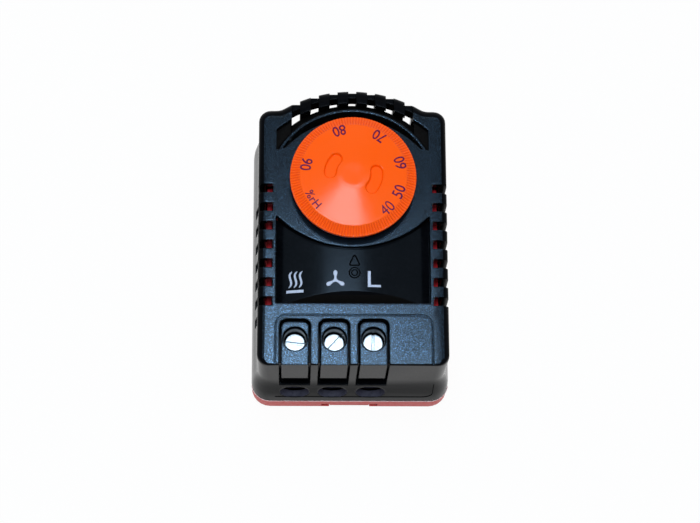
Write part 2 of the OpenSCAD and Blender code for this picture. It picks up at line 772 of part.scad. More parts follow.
module chassis_plate() color(steel) {
    tab_w = 4;
    difference() {
        union() {
            block([-chassis_x, chassis_y0, chassis_z], [chassis_x, chassis_y1, deck_z]);
            // Tab that carries the calibration screw
            block([band_x - 2.6, tab_y0, deck_z - over / 2], [band_x + 2.2, tab_y1, mid_z + 2.6]);
        }
        post(0, dial_y, chassis_z - over, deck_z + over, spindle_r + 1);
        both_sides() block([bracket_x - bracket_t - slide_fit, dial_y - tab_w / 2 - slide_fit,
            chassis_z - over], [bracket_x + slide_fit, dial_y + tab_w / 2 + slide_fit,
            deck_z + over]);
        for (p = screw_posts) post(p[0], p[1], chassis_z - over, deck_z + over,
            small_screw_r + slide_fit);
        post(sensor_x, sensor_y, chassis_z - over, deck_z + over, pin_r + run_fit / 2);
        post(setting_x, setting_y, chassis_z - over, deck_z + over, pin_r + run_fit / 2);
        post(stop_pin_orbit, dial_y, chassis_z - over, deck_z + over, stop_pin_r + run_fit / 2);
        for (x = switch_holes) post(x, switch_hole_y, chassis_z - over, deck_z + over,
            small_screw_r + run_fit / 2);
        y_cylinder(band_x, mid_z, tab_y0 - over, tab_y1 + over, calibration_r + run_fit);
        // Window that lets air through the plate
        block([-6, -3.5, chassis_z - over], [6, 4.5, deck_z + over]);
    }
}

module chassis_screws() color(steel) {
    for (p = screw_posts) {
        post(p[0], p[1], chassis_z - chassis_screw_l, deck_z + small_head_h / 2, small_screw_r);
        difference() {
            post(p[0], p[1], deck_z, deck_z + small_head_h, small_head_r);
            block([p[0] - 3, p[1] - 0.3, deck_z + 0.9], [p[0] + 3, p[1] + 0.3, deck_z + 3]);
        }
    }
}

module stop_pin() color(steel) {
    post(stop_pin_orbit, dial_y, chassis_z, stop_z0 + stop_t + 0.3, stop_pin_r);
}

module setting_lever() color(ivory) {
    pocket = pin_r + run_fit;
    difference() {
        union() {
            post(setting_x, setting_y, lever_z0, lever_z1, boss_r);
            block([setting_x, setting_bar_y0, lever_z0], [spring_x - 1.6, setting_bar_y1, lever_z1]);
            block([spring_x - 2, setting_bar_y0, mid_z - eye_t / 2], [spring_x + 1.2,
                setting_bar_y1, mid_z + eye_t / 2]);
            block([-1.2, nose_y, lever_z0], [1.2, setting_bar_y0 + over, lever_z1]);
            post(0, nose_y, lever_z0, lever_z1, nose_r);
        }
        post(setting_x, setting_y, lever_z0 - over, lever_z1 + over, pocket);
        // Eye for the spring's hook
        post(spring_x, setting_bar_y0 + eye_in, lever_z0 - over, lever_z1 + over, eye_r);
    }
}

// A pin that stands in the chassis, with a shoulder under the lever
module lever_pin(x, y) {
    post(x, y, chassis_z, pin_top_z, pin_r);
    tube(x, y, deck_z, lever_z0 - run_fit, pin_r + 0.9, pin_r - 0.1);
}
module setting_lever_pin() color(steel) lever_pin(setting_x, setting_y);
module sensor_lever_pin() color(steel) lever_pin(sensor_x, sensor_y);

module lever_clips() color(steel) {
    for (p = [[setting_x, setting_y], [sensor_x, sensor_y]]) difference() {
        tube(p[0], p[1], lever_z1 + 0.2, lever_z1 + 0.9, pin_r + 1.4, pin_r + run_fit / 2);
        block([p[0] - 0.8, p[1], lever_z1], [p[0] + 0.8, p[1] + 5, lever_z1 + 2]);
    }
}

module sensor_lever() color(ivory) {
    bar = sensor_bar / 2;
    difference() {
        union() {
            post(sensor_x, sensor_y, lever_z0, lever_z1, boss_r);
            block([band_x - 1.6, sensor_y - bar, lever_z0], [sensor_x + 1, sensor_y + bar,
                lever_z1]);
            block([sensor_x, sensor_y - bar, mid_z - eye_t / 2], [spring_x + 1.2,
                sensor_y + bar, mid_z + eye_t / 2]);
        }
        post(sensor_x, sensor_y, lever_z0 - over, lever_z1 + over, pin_r + run_fit);
        post(spring_x, sensor_y, lever_z0 - over, lever_z1 + over, eye_r);
    }
}

module humidity_band() color(clear_film) {
    for (s = [-1, 1]) translate([band_x + s * (band_t + free_gap) / 2, 0, 0])
        block([-band_t / 2, band_low_y + band_end, mid_z - band_w / 2],
            [band_t / 2, band_high_y - band_end, mid_z + band_w / 2]);
}
// A crimp that holds the band's end, from its closed back at 0 to its open mouth
module band_clamp() {
    difference() {
        block([-crimp_w / 2, 0, mid_z - band_w / 2 - crimp_t],
            [crimp_w / 2, crimp_l, mid_z + band_w / 2 + crimp_t]);
        for (s = [-1, 1]) translate([s * (band_t + free_gap) / 2, 0, 0])
            block([-band_t / 2 - run_fit, band_end - run_fit, mid_z - band_w / 2 - run_fit],
                [band_t / 2 + run_fit, crimp_l + over, mid_z + band_w / 2 + run_fit]);
    }
}
module fixed_band_clamp() color(brass) translate([band_x, band_high_y, 0])
    mirror([0, 1, 0]) band_clamp();
module moving_band_clamp() color(brass) translate([band_x, band_low_y, 0]) band_clamp();

module calibration_screw() color(brass) {
    head_y = tab_y1 + run_fit;
    difference() {
        union() {
            y_cylinder(band_x, mid_z, band_high_y, head_y + run_fit, calibration_r);
            y_cylinder(band_x, mid_z, head_y, head_y + calibration_head_l, 1.7);
        }
        block([band_x - 2, head_y + calibration_head_l / 2, mid_z - 0.25],
            [band_x + 2, head_y + calibration_head_l + over, mid_z + 0.25]);
    }
}

// The coil's two ends turn into loops that pass through the levers' eyes
eye_ring_r = 1.2;
module tension_spring() color(steel) {
    y0 = sensor_y + 2 * eye_ring_r;
    y1 = setting_bar_y0 + eye_in - 2 * eye_ring_r;
    q = spring_r - spring_wire / 2;
    turns = 13;
    low = [for (a = [-240:30:30]) [eye_ring_r * cos(a), 0, -eye_ring_r + eye_ring_r * sin(a)]];
    high = [for (a = [-30:30:240]) [eye_ring_r * cos(a), 0,
        y1 - y0 + eye_ring_r + eye_ring_r * sin(a)]];
    coil = coil_path(spring_r, spring_wire, turns, 0, y1 - y0);
    translate([spring_x, y0, mid_z]) rotate([-90, 0, 0]) rotate([0, 0, 90])
        wire(concat(low, coil, high), spring_wire, [0, 1, 0]);
}

switch_holes = [switch_x0 + 3, switch_x1 - 2.4];
switch_hole_y = switch_y1 - 2.4;
plunger_bore = plunger_r + run_fit;

module switch_body() color(grey) {
    difference() {
        block([switch_x0, switch_y0, switch_z0], [switch_x1, switch_y1,
            switch_z0 + switch_w - switch_lid_t]);
        difference() {
            block([switch_x0 + switch_wall, switch_y0 + switch_wall, switch_z0 + switch_wall],
                [switch_x1 - switch_wall, switch_y1 - switch_wall, body_d]);
            for (x = switch_holes) post(x, switch_hole_y, switch_z0, body_d, 2.3);
        }
        for (x = switch_holes) post(x, switch_hole_y, switch_z0 - over, body_d,
            small_screw_r + slide_fit);
        y_cylinder(plunger_x, mid_z, switch_y1 - switch_wall - over, switch_y1 + over,
            plunger_bore);
        // Slots that the three contact lugs leave by
        for (i = [0:2]) block([term_at(i) - busbar_w / 2 - run_fit, switch_y0 - over,
            lug_z - run_fit], [term_at(i) + busbar_w / 2 + run_fit,
            switch_y0 + switch_wall + over, lug_z + lug_t + run_fit]);
    }
}

module switch_cover() color(grey) {
    difference() {
        block([switch_x0, switch_y0, switch_z0 + switch_w - switch_lid_t],
            [switch_x1, switch_y1, switch_z0 + switch_w]);
        for (x = switch_holes) post(x, switch_hole_y, switch_z0, body_d,
            small_screw_r + slide_fit);
    }
}

module switch_screws() color(steel) {
    top = switch_z0 + switch_w;
    for (x = switch_holes) {
        post(x, switch_hole_y, chassis_z, top + 0.8, small_screw_r);
        difference() {
            post(x, switch_hole_y, top, top + 1.5, 2.1);
            block([x - 3, switch_hole_y - 0.3, top + 0.8], [x + 3, switch_hole_y + 0.3, top + 2]);
        }
    }
}

module switch_plunger() color(red) {
    flange_y = switch_y1 - switch_wall - 0.15;
    y_cylinder(plunger_x, mid_z, flange_y - 0.9, plunger_tip_y - 0.5, plunger_r);
    y_cylinder(plunger_x, mid_z, plunger_tip_y - 0.6, plunger_tip_y, plunger_r * 0.7);
    y_cylinder(plunger_x, mid_z, flange_y - 0.9, flange_y, plunger_r + 0.7);
    y_cylinder(plunger_x, mid_z, blade_y + blade_t / 2 + 0.1, flange_y - 0.8, 0.8);
}

module plunger_spring() color(steel) {
    y0 = blade_y + blade_t / 2 + 0.35;
    y1 = switch_y1 - switch_wall - 1.1;
    translate([plunger_x, y0, mid_z]) rotate([-90, 0, 0])
        wire(coil_path(1.4, 0.25, 3, 0, y1 - y0), 0.25, [1, 0, 0]);
}

blade_w = 4.4;
module snap_blade() color(copper) {
    block([blade_tip_x - 1.6, blade_y - blade_t / 2, mid_z - blade_w / 2],
        [blade_pivot_x - 0.75, blade_y + blade_t / 2, mid_z + blade_w / 2]);
    y_cylinder(blade_tip_x, mid_z, blade_y - rivet_t, blade_y + rivet_t, rivet_r);
    difference() {
        post(blade_pivot_x, blade_y, mid_z - blade_w / 2, mid_z + blade_w / 2, 0.9);
        post(blade_pivot_x, blade_y, lug_z, body_d, 0.5 + run_fit);
    }
}

// Lug that leaves the switch on top of its busbar
module lug(i) {
    block([term_at(i) - busbar_w / 2, block_front_y - 2.5, lug_z],
        [term_at(i) + busbar_w / 2, switch_y0 + switch_wall + 0.6, lug_z + lug_t]);
}

contact_top_z = mid_z + blade_w / 2;
module contact_common() color(copper) {
    lug(2);
    block([term_at(2) - 0.9, switch_y0 + switch_wall + 0.5, lug_z], [term_at(2) + 0.9,
        blade_y + 0.55, lug_z + lug_t]);
    post(term_at(2), blade_y, lug_z, contact_top_z, 0.5);
}

module contact_heater() color(copper) {
    face_y = blade_y - rivet_t - contact_gap;
    lug(0);
    block([term_at(0) - 1.8, switch_y0 + switch_wall, lug_z], [blade_tip_x + 1.9,
        face_y - 0.4, lug_z + lug_t]);
    block([blade_tip_x - 1.9, face_y - 1.2, lug_z], [blade_tip_x + 1.9, face_y - 0.4,
        contact_top_z]);
    y_cylinder(blade_tip_x, mid_z, face_y - 0.5, face_y, rivet_r);
}

module contact_fan() color(copper) {
    face_y = blade_y + rivet_t + 0.1;
    lug(1);
    block([term_at(1) - 1.2, switch_y0 + switch_wall, lug_z], [term_at(1) + 1.2,
        face_y + 1.2, lug_z + lug_t]);
    block([blade_tip_x - 1.5, face_y + 0.4, lug_z], [term_at(1) + 1.2, face_y + 1.2,
        lug_z + lug_t]);
    block([blade_tip_x - 1.5, face_y + 0.4, lug_z], [blade_tip_x + 1.5, face_y + 1.2,
        contact_top_z]);
    y_cylinder(blade_tip_x, mid_z, face_y, face_y + 0.5, rivet_r);
}

module terminal_block() color(black) {
    x0 = term_at(0) - term_pitch / 2;
    x1 = term_at(2) + term_pitch / 2;
    difference() {
        union() {
            block([x0, block_back_y, block_low_z], [x1, block_front_y, block_top_z]);
            // Towers that fill the cover's windows and wrap over its bottom edge
            for (i = [0:2]) translate([term_at(i), 0, tower_low_z]) intersection() {
                linear_extrude(tower_z - tower_low_z)
                    window_2d(tower_w, tower_top, tower_r);
                block([-body_w, bottom_y + 0.1, -over], [body_w, body_h, body_d]);
            }
        }
        for (i = [0:2]) translate([term_at(i), 0, 0]) {
            // Chamber of the clamp cage
            block([-cavity_w / 2, cage_y0 - free_gap, block_low_z + 0.8],
                [cavity_w / 2, cage_y1 + free_gap, ledge_z]);
            post(0, well_y, ledge_z - over, block_top_z + over, screw_r + slide_fit);
            post(0, well_y, block_top_z, body_d + over, well_r);
            translate([0, well_y, tower_z - well_mouth_h])
                cylinder(r1 = well_r, r2 = well_mouth_r, h = well_mouth_h + 0.01);
            y_cylinder(0, wire_z, bottom_y - over, cage_y0, wire_r);
            // Slot for the busbar
            block([-busbar_w / 2 - run_fit, cage_y1 - over, busbar_z - run_fit],
                [busbar_w / 2 + run_fit, block_front_y + over, lug_z + lug_t + run_fit]);
        }
    }
}

module terminal_screw(i) color(steel) {
    difference() {
        union() {
            post(term_at(i), well_y, screw_low_z, head_z + head_h / 2, screw_r);
            post(term_at(i), well_y, head_z + run_fit, head_z + head_h, screw_head_r);
        }
        translate([term_at(i), well_y, head_z + head_h - slot_d]) rotate([0, 0, slot_angle[i]])
            block([-screw_head_r - over, -slot_w / 2, 0], [screw_head_r + over, slot_w / 2, over]);
    }
}
module terminal_screw_1() terminal_screw(0);
module terminal_screw_2() terminal_screw(1);
module terminal_screw_3() terminal_screw(2);

module clamp_cage(i) color(steel) {
    translate([term_at(i), 0, 0]) difference() {
        block([-cage_w / 2, cage_y0, cage_low_z], [cage_w / 2, cage_y1, cage_top_z]);
        block([-cage_w / 2 + cage_t, cage_y0 - over, cage_low_z + cage_t],
            [cage_w / 2 - cage_t, cage_y1 + over, cage_top_z - cage_nut_t]);
        post(0, well_y, cage_low_z + cage_t, cage_top_z + over, screw_r + run_fit);
    }
}
module clamp_cage_1() clamp_cage(0);
module clamp_cage_2() clamp_cage(1);
module clamp_cage_3() clamp_cage(2);

module busbar(i) color(brass) {
    block([term_at(i) - busbar_w / 2, cage_y0 + 0.4, busbar_z],
        [term_at(i) + busbar_w / 2, block_front_y - 0.5, busbar_z + busbar_t]);
}
module busbar_1() busbar(0);
module busbar_2() busbar(1);
module busbar_3() busbar(2);

front_cover();
rear_base();
din_latch();
latch_spring();
setpoint_dial();
dial_spindle();
setting_cam();
cam_ring();
spindle_bracket();
upper_bush();
lower_bush();
chassis_plate();
chassis_screws();
stop_pin();
setting_lever();
setting_lever_pin();
sensor_lever();
sensor_lever_pin();
lever_clips();
humidity_band();
fixed_band_clamp();
moving_band_clamp();
calibration_screw();
tension_spring();
switch_body();
switch_cover();
switch_screws();
switch_plunger();
plunger_spring();
snap_blade();
contact_common();
contact_fan();
contact_heater();
terminal_block();
terminal_screw_1();
terminal_screw_2();
terminal_screw_3();
clamp_cage_1();
clamp_cage_2();
clamp_cage_3();
busbar_1();
busbar_2();
busbar_3();
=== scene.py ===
"""Looks of a rail-mounted hygrostat: cover, dial, label panel, terminals, base and mechanism."""

from __future__ import annotations

import json
import logging
import math
from dataclasses import dataclass, replace
from enum import Enum
from typing import Callable, Sequence

import bmesh
import bpy
import numpy as np
from mathutils import Matrix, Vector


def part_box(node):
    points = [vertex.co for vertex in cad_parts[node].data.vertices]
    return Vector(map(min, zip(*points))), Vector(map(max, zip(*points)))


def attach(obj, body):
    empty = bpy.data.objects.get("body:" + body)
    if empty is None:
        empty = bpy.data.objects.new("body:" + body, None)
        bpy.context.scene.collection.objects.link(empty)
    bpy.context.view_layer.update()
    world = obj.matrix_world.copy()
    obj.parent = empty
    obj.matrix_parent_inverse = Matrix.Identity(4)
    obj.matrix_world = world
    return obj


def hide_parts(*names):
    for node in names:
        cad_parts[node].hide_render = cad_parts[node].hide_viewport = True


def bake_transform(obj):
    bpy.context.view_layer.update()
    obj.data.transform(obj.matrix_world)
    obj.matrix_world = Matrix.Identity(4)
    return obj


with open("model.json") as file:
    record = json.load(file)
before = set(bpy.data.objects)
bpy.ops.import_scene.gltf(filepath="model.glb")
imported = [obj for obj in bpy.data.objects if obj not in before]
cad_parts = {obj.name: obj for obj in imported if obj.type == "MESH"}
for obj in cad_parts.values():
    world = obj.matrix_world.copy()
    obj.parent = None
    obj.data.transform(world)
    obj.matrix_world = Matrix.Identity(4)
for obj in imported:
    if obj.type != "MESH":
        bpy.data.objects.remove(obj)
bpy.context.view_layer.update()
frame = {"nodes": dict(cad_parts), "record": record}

LOG = logging.getLogger("hygrostat")
MM = 0.001
Colour = tuple[float, float, float]
Curve = Callable[[np.ndarray], np.ndarray]


class Body(str, Enum):
    """Moving bodies of the frame."""

    HOUSING = "housing"
    DIAL = "dial"
    SETTING_ARM = "setting_arm"
    PLUNGER = "plunger"
    LATCH = "latch"
    SCREW_1 = "screw_1"
    SCREW_2 = "screw_2"
    SCREW_3 = "screw_3"


class Slot(str, Enum):
    """Material slots of the record."""

    BLACK = "black_plastic"
    RED = "red_plastic"
    ORANGE = "orange_plastic"
    IVORY = "ivory_plastic"
    SWITCH = "switch_plastic"
    BAND = "band_film"
    BRASS = "brass"
    COPPER = "contact_copper"
    ZINC = "zinc_steel"
    SPRING = "spring_steel"


def linear(red: float, green: float, blue: float) -> Colour:
    """Turn a colour given as 0 to 255 display values into scene values.

    Args:
        red: Display red.
        green: Display green.
        blue: Display blue.

    Returns:
        The three scene values from 0 to 1.
    """
    parts = (v / 255 for v in (red, green, blue))
    return tuple(v / 12.92 if v <= 0.04045 else ((v + 0.055) / 1.055) ** 2.4 for v in parts)


# Shader building


class Graph:
    """Adds and joins the nodes of one shader tree."""

    def __init__(self, tree: bpy.types.NodeTree) -> None:
        """Keep the tree and empty it."""
        self.tree = tree
        self.tree.nodes.clear()

    def add(self, kind: str, **sockets: object) -> bpy.types.Node:
        """Add a node and set its inputs.

        Args:
            kind: The node's type without the ShaderNode prefix.
            **sockets: Values or outputs, by input name with _ for a space; a name that starts
                with p_ sets a property of the node, and i0, i1 ... set an input by its place.

        Returns:
            The new node.
        """
        node = self.tree.nodes.new("ShaderNode" + kind)
        for key, value in sockets.items():
            if key.startswith("p_"):
                setattr(node, key[2:], value)
        for key, value in sockets.items():
            if key.startswith("p_"):
                continue
            numbered = key[0] == "i" and key[1:].isdigit()
            socket = node.inputs[int(key[1:]) if numbered else key.replace("_", " ")]
            if isinstance(value, bpy.types.NodeSocket):
                self.tree.links.new(value, socket)
            elif isinstance(value, tuple) and len(value) == 3 and len(socket.default_value) == 4:
                socket.default_value = (*value, 1)
            else:
                socket.default_value = value
        return node

    def maths(self, operation: str, a: object, b: object = 0.0, clamp: bool = False) -> object:
        """Return the output of one Math node."""
        node = self.add("Math", p_operation=operation, p_use_clamp=clamp, i0=a, i1=b)
        return node.outputs[0]

    def blend(self, factor: object, a: object, b: object) -> object:
        """Mix two colours.

        Args:
            factor: The share of the second colour, as a number or an output.
            a: The first colour.
            b: The second colour.

        Returns:
            The output of the mix.
        """
        node = self.add("Mix", p_data_type="RGBA", i0=factor)
        for place, value in ((6, a), (7, b)):
            if isinstance(value, bpy.types.NodeSocket):
                self.tree.links.new(value, node.inputs[place])
            else:
                node.inputs[place].default_value = (*value, 1)
        return node.outputs[2]

    def span(self, value: object, low: float, high: float, to_low: float, to_high: float) -> object:
        """Return a value carried from one range to another, held at the ends."""
        node = self.add("MapRange", i0=value, i1=low, i2=high, i3=to_low, i4=to_high)
        return node.outputs[0]


class Effects:
    """Shader node groups that several finishes share."""

    def __init__(self) -> None:
        """Build each group once."""
        self.grain = self._grain()
        self.rub = self._rub()
        self.dust = self._dust()
        self.lines = self._lines()

    @staticmethod
    def _group(name: str, inputs: Sequence[tuple[str, float]], outputs: Sequence[str]) -> Graph:
        """Make an empty group with float inputs and outputs.

        Args:
            name: The group's name.
            inputs: Each input's name and starting value.
            outputs: Each output's name.

        Returns:
            A graph that builds inside the group.
        """
        tree = bpy.data.node_groups.new(name, "ShaderNodeTree")
        graph = Graph(tree)
        for label, value in inputs:
            socket = tree.interface.new_socket(label, in_out="INPUT", socket_type="NodeSocketFloat")
            socket.default_value = value
        for label in outputs:
            tree.interface.new_socket(label, in_out="OUTPUT", socket_type="NodeSocketFloat")
        return graph

    def _grain(self) -> bpy.types.NodeTree:
        """Make a spark-eroded grain: its height, and the share of the surface that glints.

        Returns:
            The node group.
        """
        g = self._group("moulded_grain", [("Scale", 2000), ("Glint", 0.6)], ["Height", "Glints"])
        start = g.tree.nodes.new("NodeGroupInput")
        end = g.tree.nodes.new("NodeGroupOutput")
        place = g.add("TexCoord").outputs["Object"]
        coarse = g.add("TexNoise", Vector=place, Scale=start.outputs["Scale"], Detail=3.0,
                       Roughness=0.65)
        twice = g.maths("MULTIPLY", start.outputs["Scale"], 1.7)
        cells = g.add("TexVoronoi", Vector=place, Scale=twice)
        height = g.maths("ADD", coarse.outputs[0], g.maths("MULTIPLY", cells.outputs[0], 0.5))
        low = g.maths("SUBTRACT", start.outputs["Glint"], 0.12)
        ramp = g.add("MapRange", i0=coarse.outputs[0], i1=low, i2=start.outputs["Glint"])
        g.tree.links.new(height, end.inputs["Height"])
        g.tree.links.new(ramp.outputs[0], end.inputs["Glints"])
        return g.tree

    def _rub(self) -> bpy.types.NodeTree:
        """Make the mask of edges rubbed by hands: 1 on a sharp edge, 0 on a flat or smooth face.

        Returns:
            The node group.
        """
        g = self._group("edge_rub", [("Width", 0.0003), ("Gain", 6)], ["Mask"])
        start = g.tree.nodes.new("NodeGroupInput")
        end = g.tree.nodes.new("NodeGroupOutput")
        soft = g.add("Bevel", p_samples=6, Radius=start.outputs["Width"]).outputs[0]
        true = g.add("NewGeometry").outputs["Normal"]
        dot = g.add("VectorMath", p_operation="DOT_PRODUCT", i0=soft, i1=true).outputs["Value"]
        bare = g.maths("MULTIPLY", g.maths("SUBTRACT", 1.0, dot), start.outputs["Gain"], True)
        g.tree.links.new(bare, end.inputs["Mask"])
        return g.tree

    def _dust(self) -> bpy.types.NodeTree:
        """Make a faint uneven film on faces that point upwards.

        Returns:
            The node group.
        """
        g = self._group("dust_film", [("Scale", 60), ("Amount", 0.1)], ["Mask"])
        start = g.tree.nodes.new("NodeGroupInput")
        end = g.tree.nodes.new("NodeGroupOutput")
        coords = g.add("TexCoord")
        patches = g.add("TexNoise", Vector=coords.outputs["Object"], Scale=start.outputs["Scale"],
                        Detail=4.0, Roughness=0.6)
        normal = g.add("SeparateXYZ", Vector=coords.outputs["Normal"])
        up = g.maths("MAXIMUM", normal.outputs[2], 0.2)
        mask = g.maths("MULTIPLY", g.span(patches.outputs[0], 0.35, 0.7, 0, 1), up)
        g.tree.links.new(g.maths("MULTIPLY", mask, start.outputs["Amount"]), end.inputs["Mask"])
        return g.tree

    def _lines(self) -> bpy.types.NodeTree:
        """Make the fine drawn lines along one axis, for stamped and turned metal.

        Returns:
            The node group.
        """
        g = self._group("drawn_lines", [("Along", 200), ("Across", 9000)], ["Height"])
        start = g.tree.nodes.new("NodeGroupInput")
        end = g.tree.nodes.new("NodeGroupOutput")
        stretch = g.add("CombineXYZ", X=start.outputs["Across"], Y=start.outputs["Along"],
                        Z=start.outputs["Across"])
        place = g.add("VectorMath", p_operation="MULTIPLY", i0=g.add("TexCoord").outputs["Object"],
                      i1=stretch.outputs[0])
        noise = g.add("TexNoise", Vector=place.outputs[0], Scale=1.0, Detail=3.0)
        g.tree.links.new(noise.outputs[0], end.inputs["Height"])
        return g.tree


@dataclass(frozen=True)
class Finish:
    """One moulded, printed or metal finish.

    The grain blends colour into shade, and with flakes its glints mirror as metal does. Dust lies
    on faces that point up, the edge colour on sharp edges, and below a given height a pale painted
    glare, a painted reflection.
    """

    name: str
    colour: Colour
    shade: Colour
    roughness: float
    rough_spread: float = 0.08
    grain_scale: float = 1500.0
    glint: float = 0.6
    grain_depth_mm: float = 0.01
    metallic: float = 0.0
    flakes: bool = False
    specular: float = 0.5
    tint: Colour = (1.0, 1.0, 1.0)
    edge_colour: Colour | None = None
    edge_width_mm: float = 0.25
    dust_amount: float = 0.06
    dust_colour: Colour = (0.3, 0.3, 0.3)
    transmission: float = 0.0
    lines: bool = False
    painted_glare_colour: Colour | None = None
    painted_glare_mm: float = 7.0

    def material(self, effects: Effects) -> bpy.types.Material:
        """Build the finish.

        Args:
            effects: The shared shader groups.

        Returns:
            The material.
        """
        material = bpy.data.materials.new(self.name)
        material.use_nodes = True
        g = Graph(material.node_tree)
        grain = g.add("Group", p_node_tree=effects.grain, Scale=self.grain_scale, Glint=self.glint)
        dust = g.add("Group", p_node_tree=effects.dust, Amount=self.dust_amount)
        colour = g.blend(grain.outputs["Glints"], self.colour, self.shade)
        if self.edge_colour:
            rub = g.add("Group", p_node_tree=effects.rub, Width=self.edge_width_mm * MM)
            colour = g.blend(rub.outputs["Mask"], colour, self.edge_colour)
        # Below the given height the colour pales to pink: a painted glare, a painted reflection.
        if self.painted_glare_colour:
            place = g.add("SeparateXYZ", Vector=g.add("TexCoord").outputs["Object"])
            low = g.span(place.outputs[2], (self.painted_glare_mm - 0.4) * MM, self.painted_glare_mm * MM, 1, 0)
            colour = g.blend(low, colour, self.painted_glare_colour)
        colour = g.blend(dust.outputs["Mask"], colour, self.dust_colour)
        rough = g.span(grain.outputs["Height"], 0.3, 0.9, self.roughness - self.rough_spread,
                       self.roughness + self.rough_spread)
        height = grain.outputs["Height"]
        if self.lines:
            height = g.add("Group", p_node_tree=effects.lines).outputs["Height"]
        round_edge = g.add("Bevel", p_samples=6, Radius=self.edge_width_mm * MM).outputs[0]
        bump = g.add("Bump", Height=height, Distance=self.grain_depth_mm * MM, Strength=1.0,
                     Normal=round_edge)
        shader = g.add("BsdfPrincipled", Base_Color=colour, Roughness=rough,
                       Metallic=self.metallic, Normal=bump.outputs[0])
        if self.flakes:
            g.tree.links.new(grain.outputs["Glints"], shader.inputs["Metallic"])
        shader.inputs["Specular IOR Level"].default_value = self.specular
        shader.inputs["Specular Tint"].default_value = (*self.tint, 1.0)
        shader.inputs["Transmission Weight"].default_value = self.transmission
        end = g.add("OutputMaterial", Surface=shader.outputs[0])
        end.is_active_output = True
        return material


@dataclass(frozen=True)
class DialFinish:
    """Glossy orange plastic, with painted shade darkening the grooves between the ridges and the
    undercut.
    """

    name: str = "dial_orange"
    colour: Colour = linear(255, 89, 0)
    # Darker orange for the grooves is painted shade.
    painted_groove_shade_colour: Colour = linear(236, 74, 0)
    ring_colour: Colour = linear(255, 92, 4)
    # Dark red for the undercut is painted shade.
    painted_under_shade_colour: Colour = linear(128, 22, 8)
    centre_y_mm: float = 11.8
    ring_mm: tuple[float, float] = (13.05, 13.2)
    painted_under_shade_mm: tuple[float, float] = (41.2, 40.8)
    ridges: int = 132
    roughness: float = 0.16
    specular: float = 0.14

    def material(self, effects: Effects) -> bpy.types.Material:
        """Build the finish.

        Args:
            effects: The shared shader groups.

        Returns:
            The material.
        """
        material = bpy.data.materials.new(self.name)
        material.use_nodes = True
        g = Graph(material.node_tree)
        coords = g.add("TexCoord").outputs["Object"]
        place = g.add("SeparateXYZ", Vector=coords)
        beside = g.maths("SUBTRACT", place.outputs[1], self.centre_y_mm * MM)
        reach = g.add("CombineXYZ", X=place.outputs[0], Y=beside)
        radius = g.add("VectorMath", p_operation="LENGTH", i0=reach.outputs[0]).outputs["Value"]
        turn = g.maths("ARCTAN2", beside, place.outputs[0])
        wave = g.maths("COSINE", g.maths("MULTIPLY", turn, float(self.ridges)))
        ring = g.span(radius, self.ring_mm[0] * MM, self.ring_mm[1] * MM, 0, 1)
        # Painted shade: the grooves between the ridges are coloured darker.
        painted_groove_shade = g.maths("MULTIPLY", ring, g.span(wave, -0.2, 0.9, 0, 1))
        # Painted shade: below the rim the undercut is coloured dark red.
        painted_shade_under = g.span(place.outputs[2], self.painted_under_shade_mm[1] * MM, self.painted_under_shade_mm[0] * MM, 1, 0)
        dust = g.add("Group", p_node_tree=effects.dust, Amount=0.03)
        colour = g.blend(ring, self.colour, self.ring_colour)
        colour = g.blend(painted_groove_shade, colour, self.painted_groove_shade_colour)
        colour = g.blend(painted_shade_under, colour, self.painted_under_shade_colour)
        colour = g.blend(dust.outputs["Mask"], colour, linear(255, 150, 110))
        fine = g.add("TexNoise", Vector=coords, Scale=700.0, Detail=4.0)
        rough = g.span(fine.outputs[0], 0.3, 0.7, self.roughness - 0.03, self.roughness + 0.03)
        bump = g.add("Bump", Height=fine.outputs[0], Strength=1.0, Distance=0.002 * MM)
        shader = g.add("BsdfPrincipled", Base_Color=colour, Roughness=rough,
                       Normal=bump.outputs[0])
        shader.inputs["Specular IOR Level"].default_value = self.specular
        end = g.add("OutputMaterial", Surface=shader.outputs[0])
        end.is_active_output = True
        return material


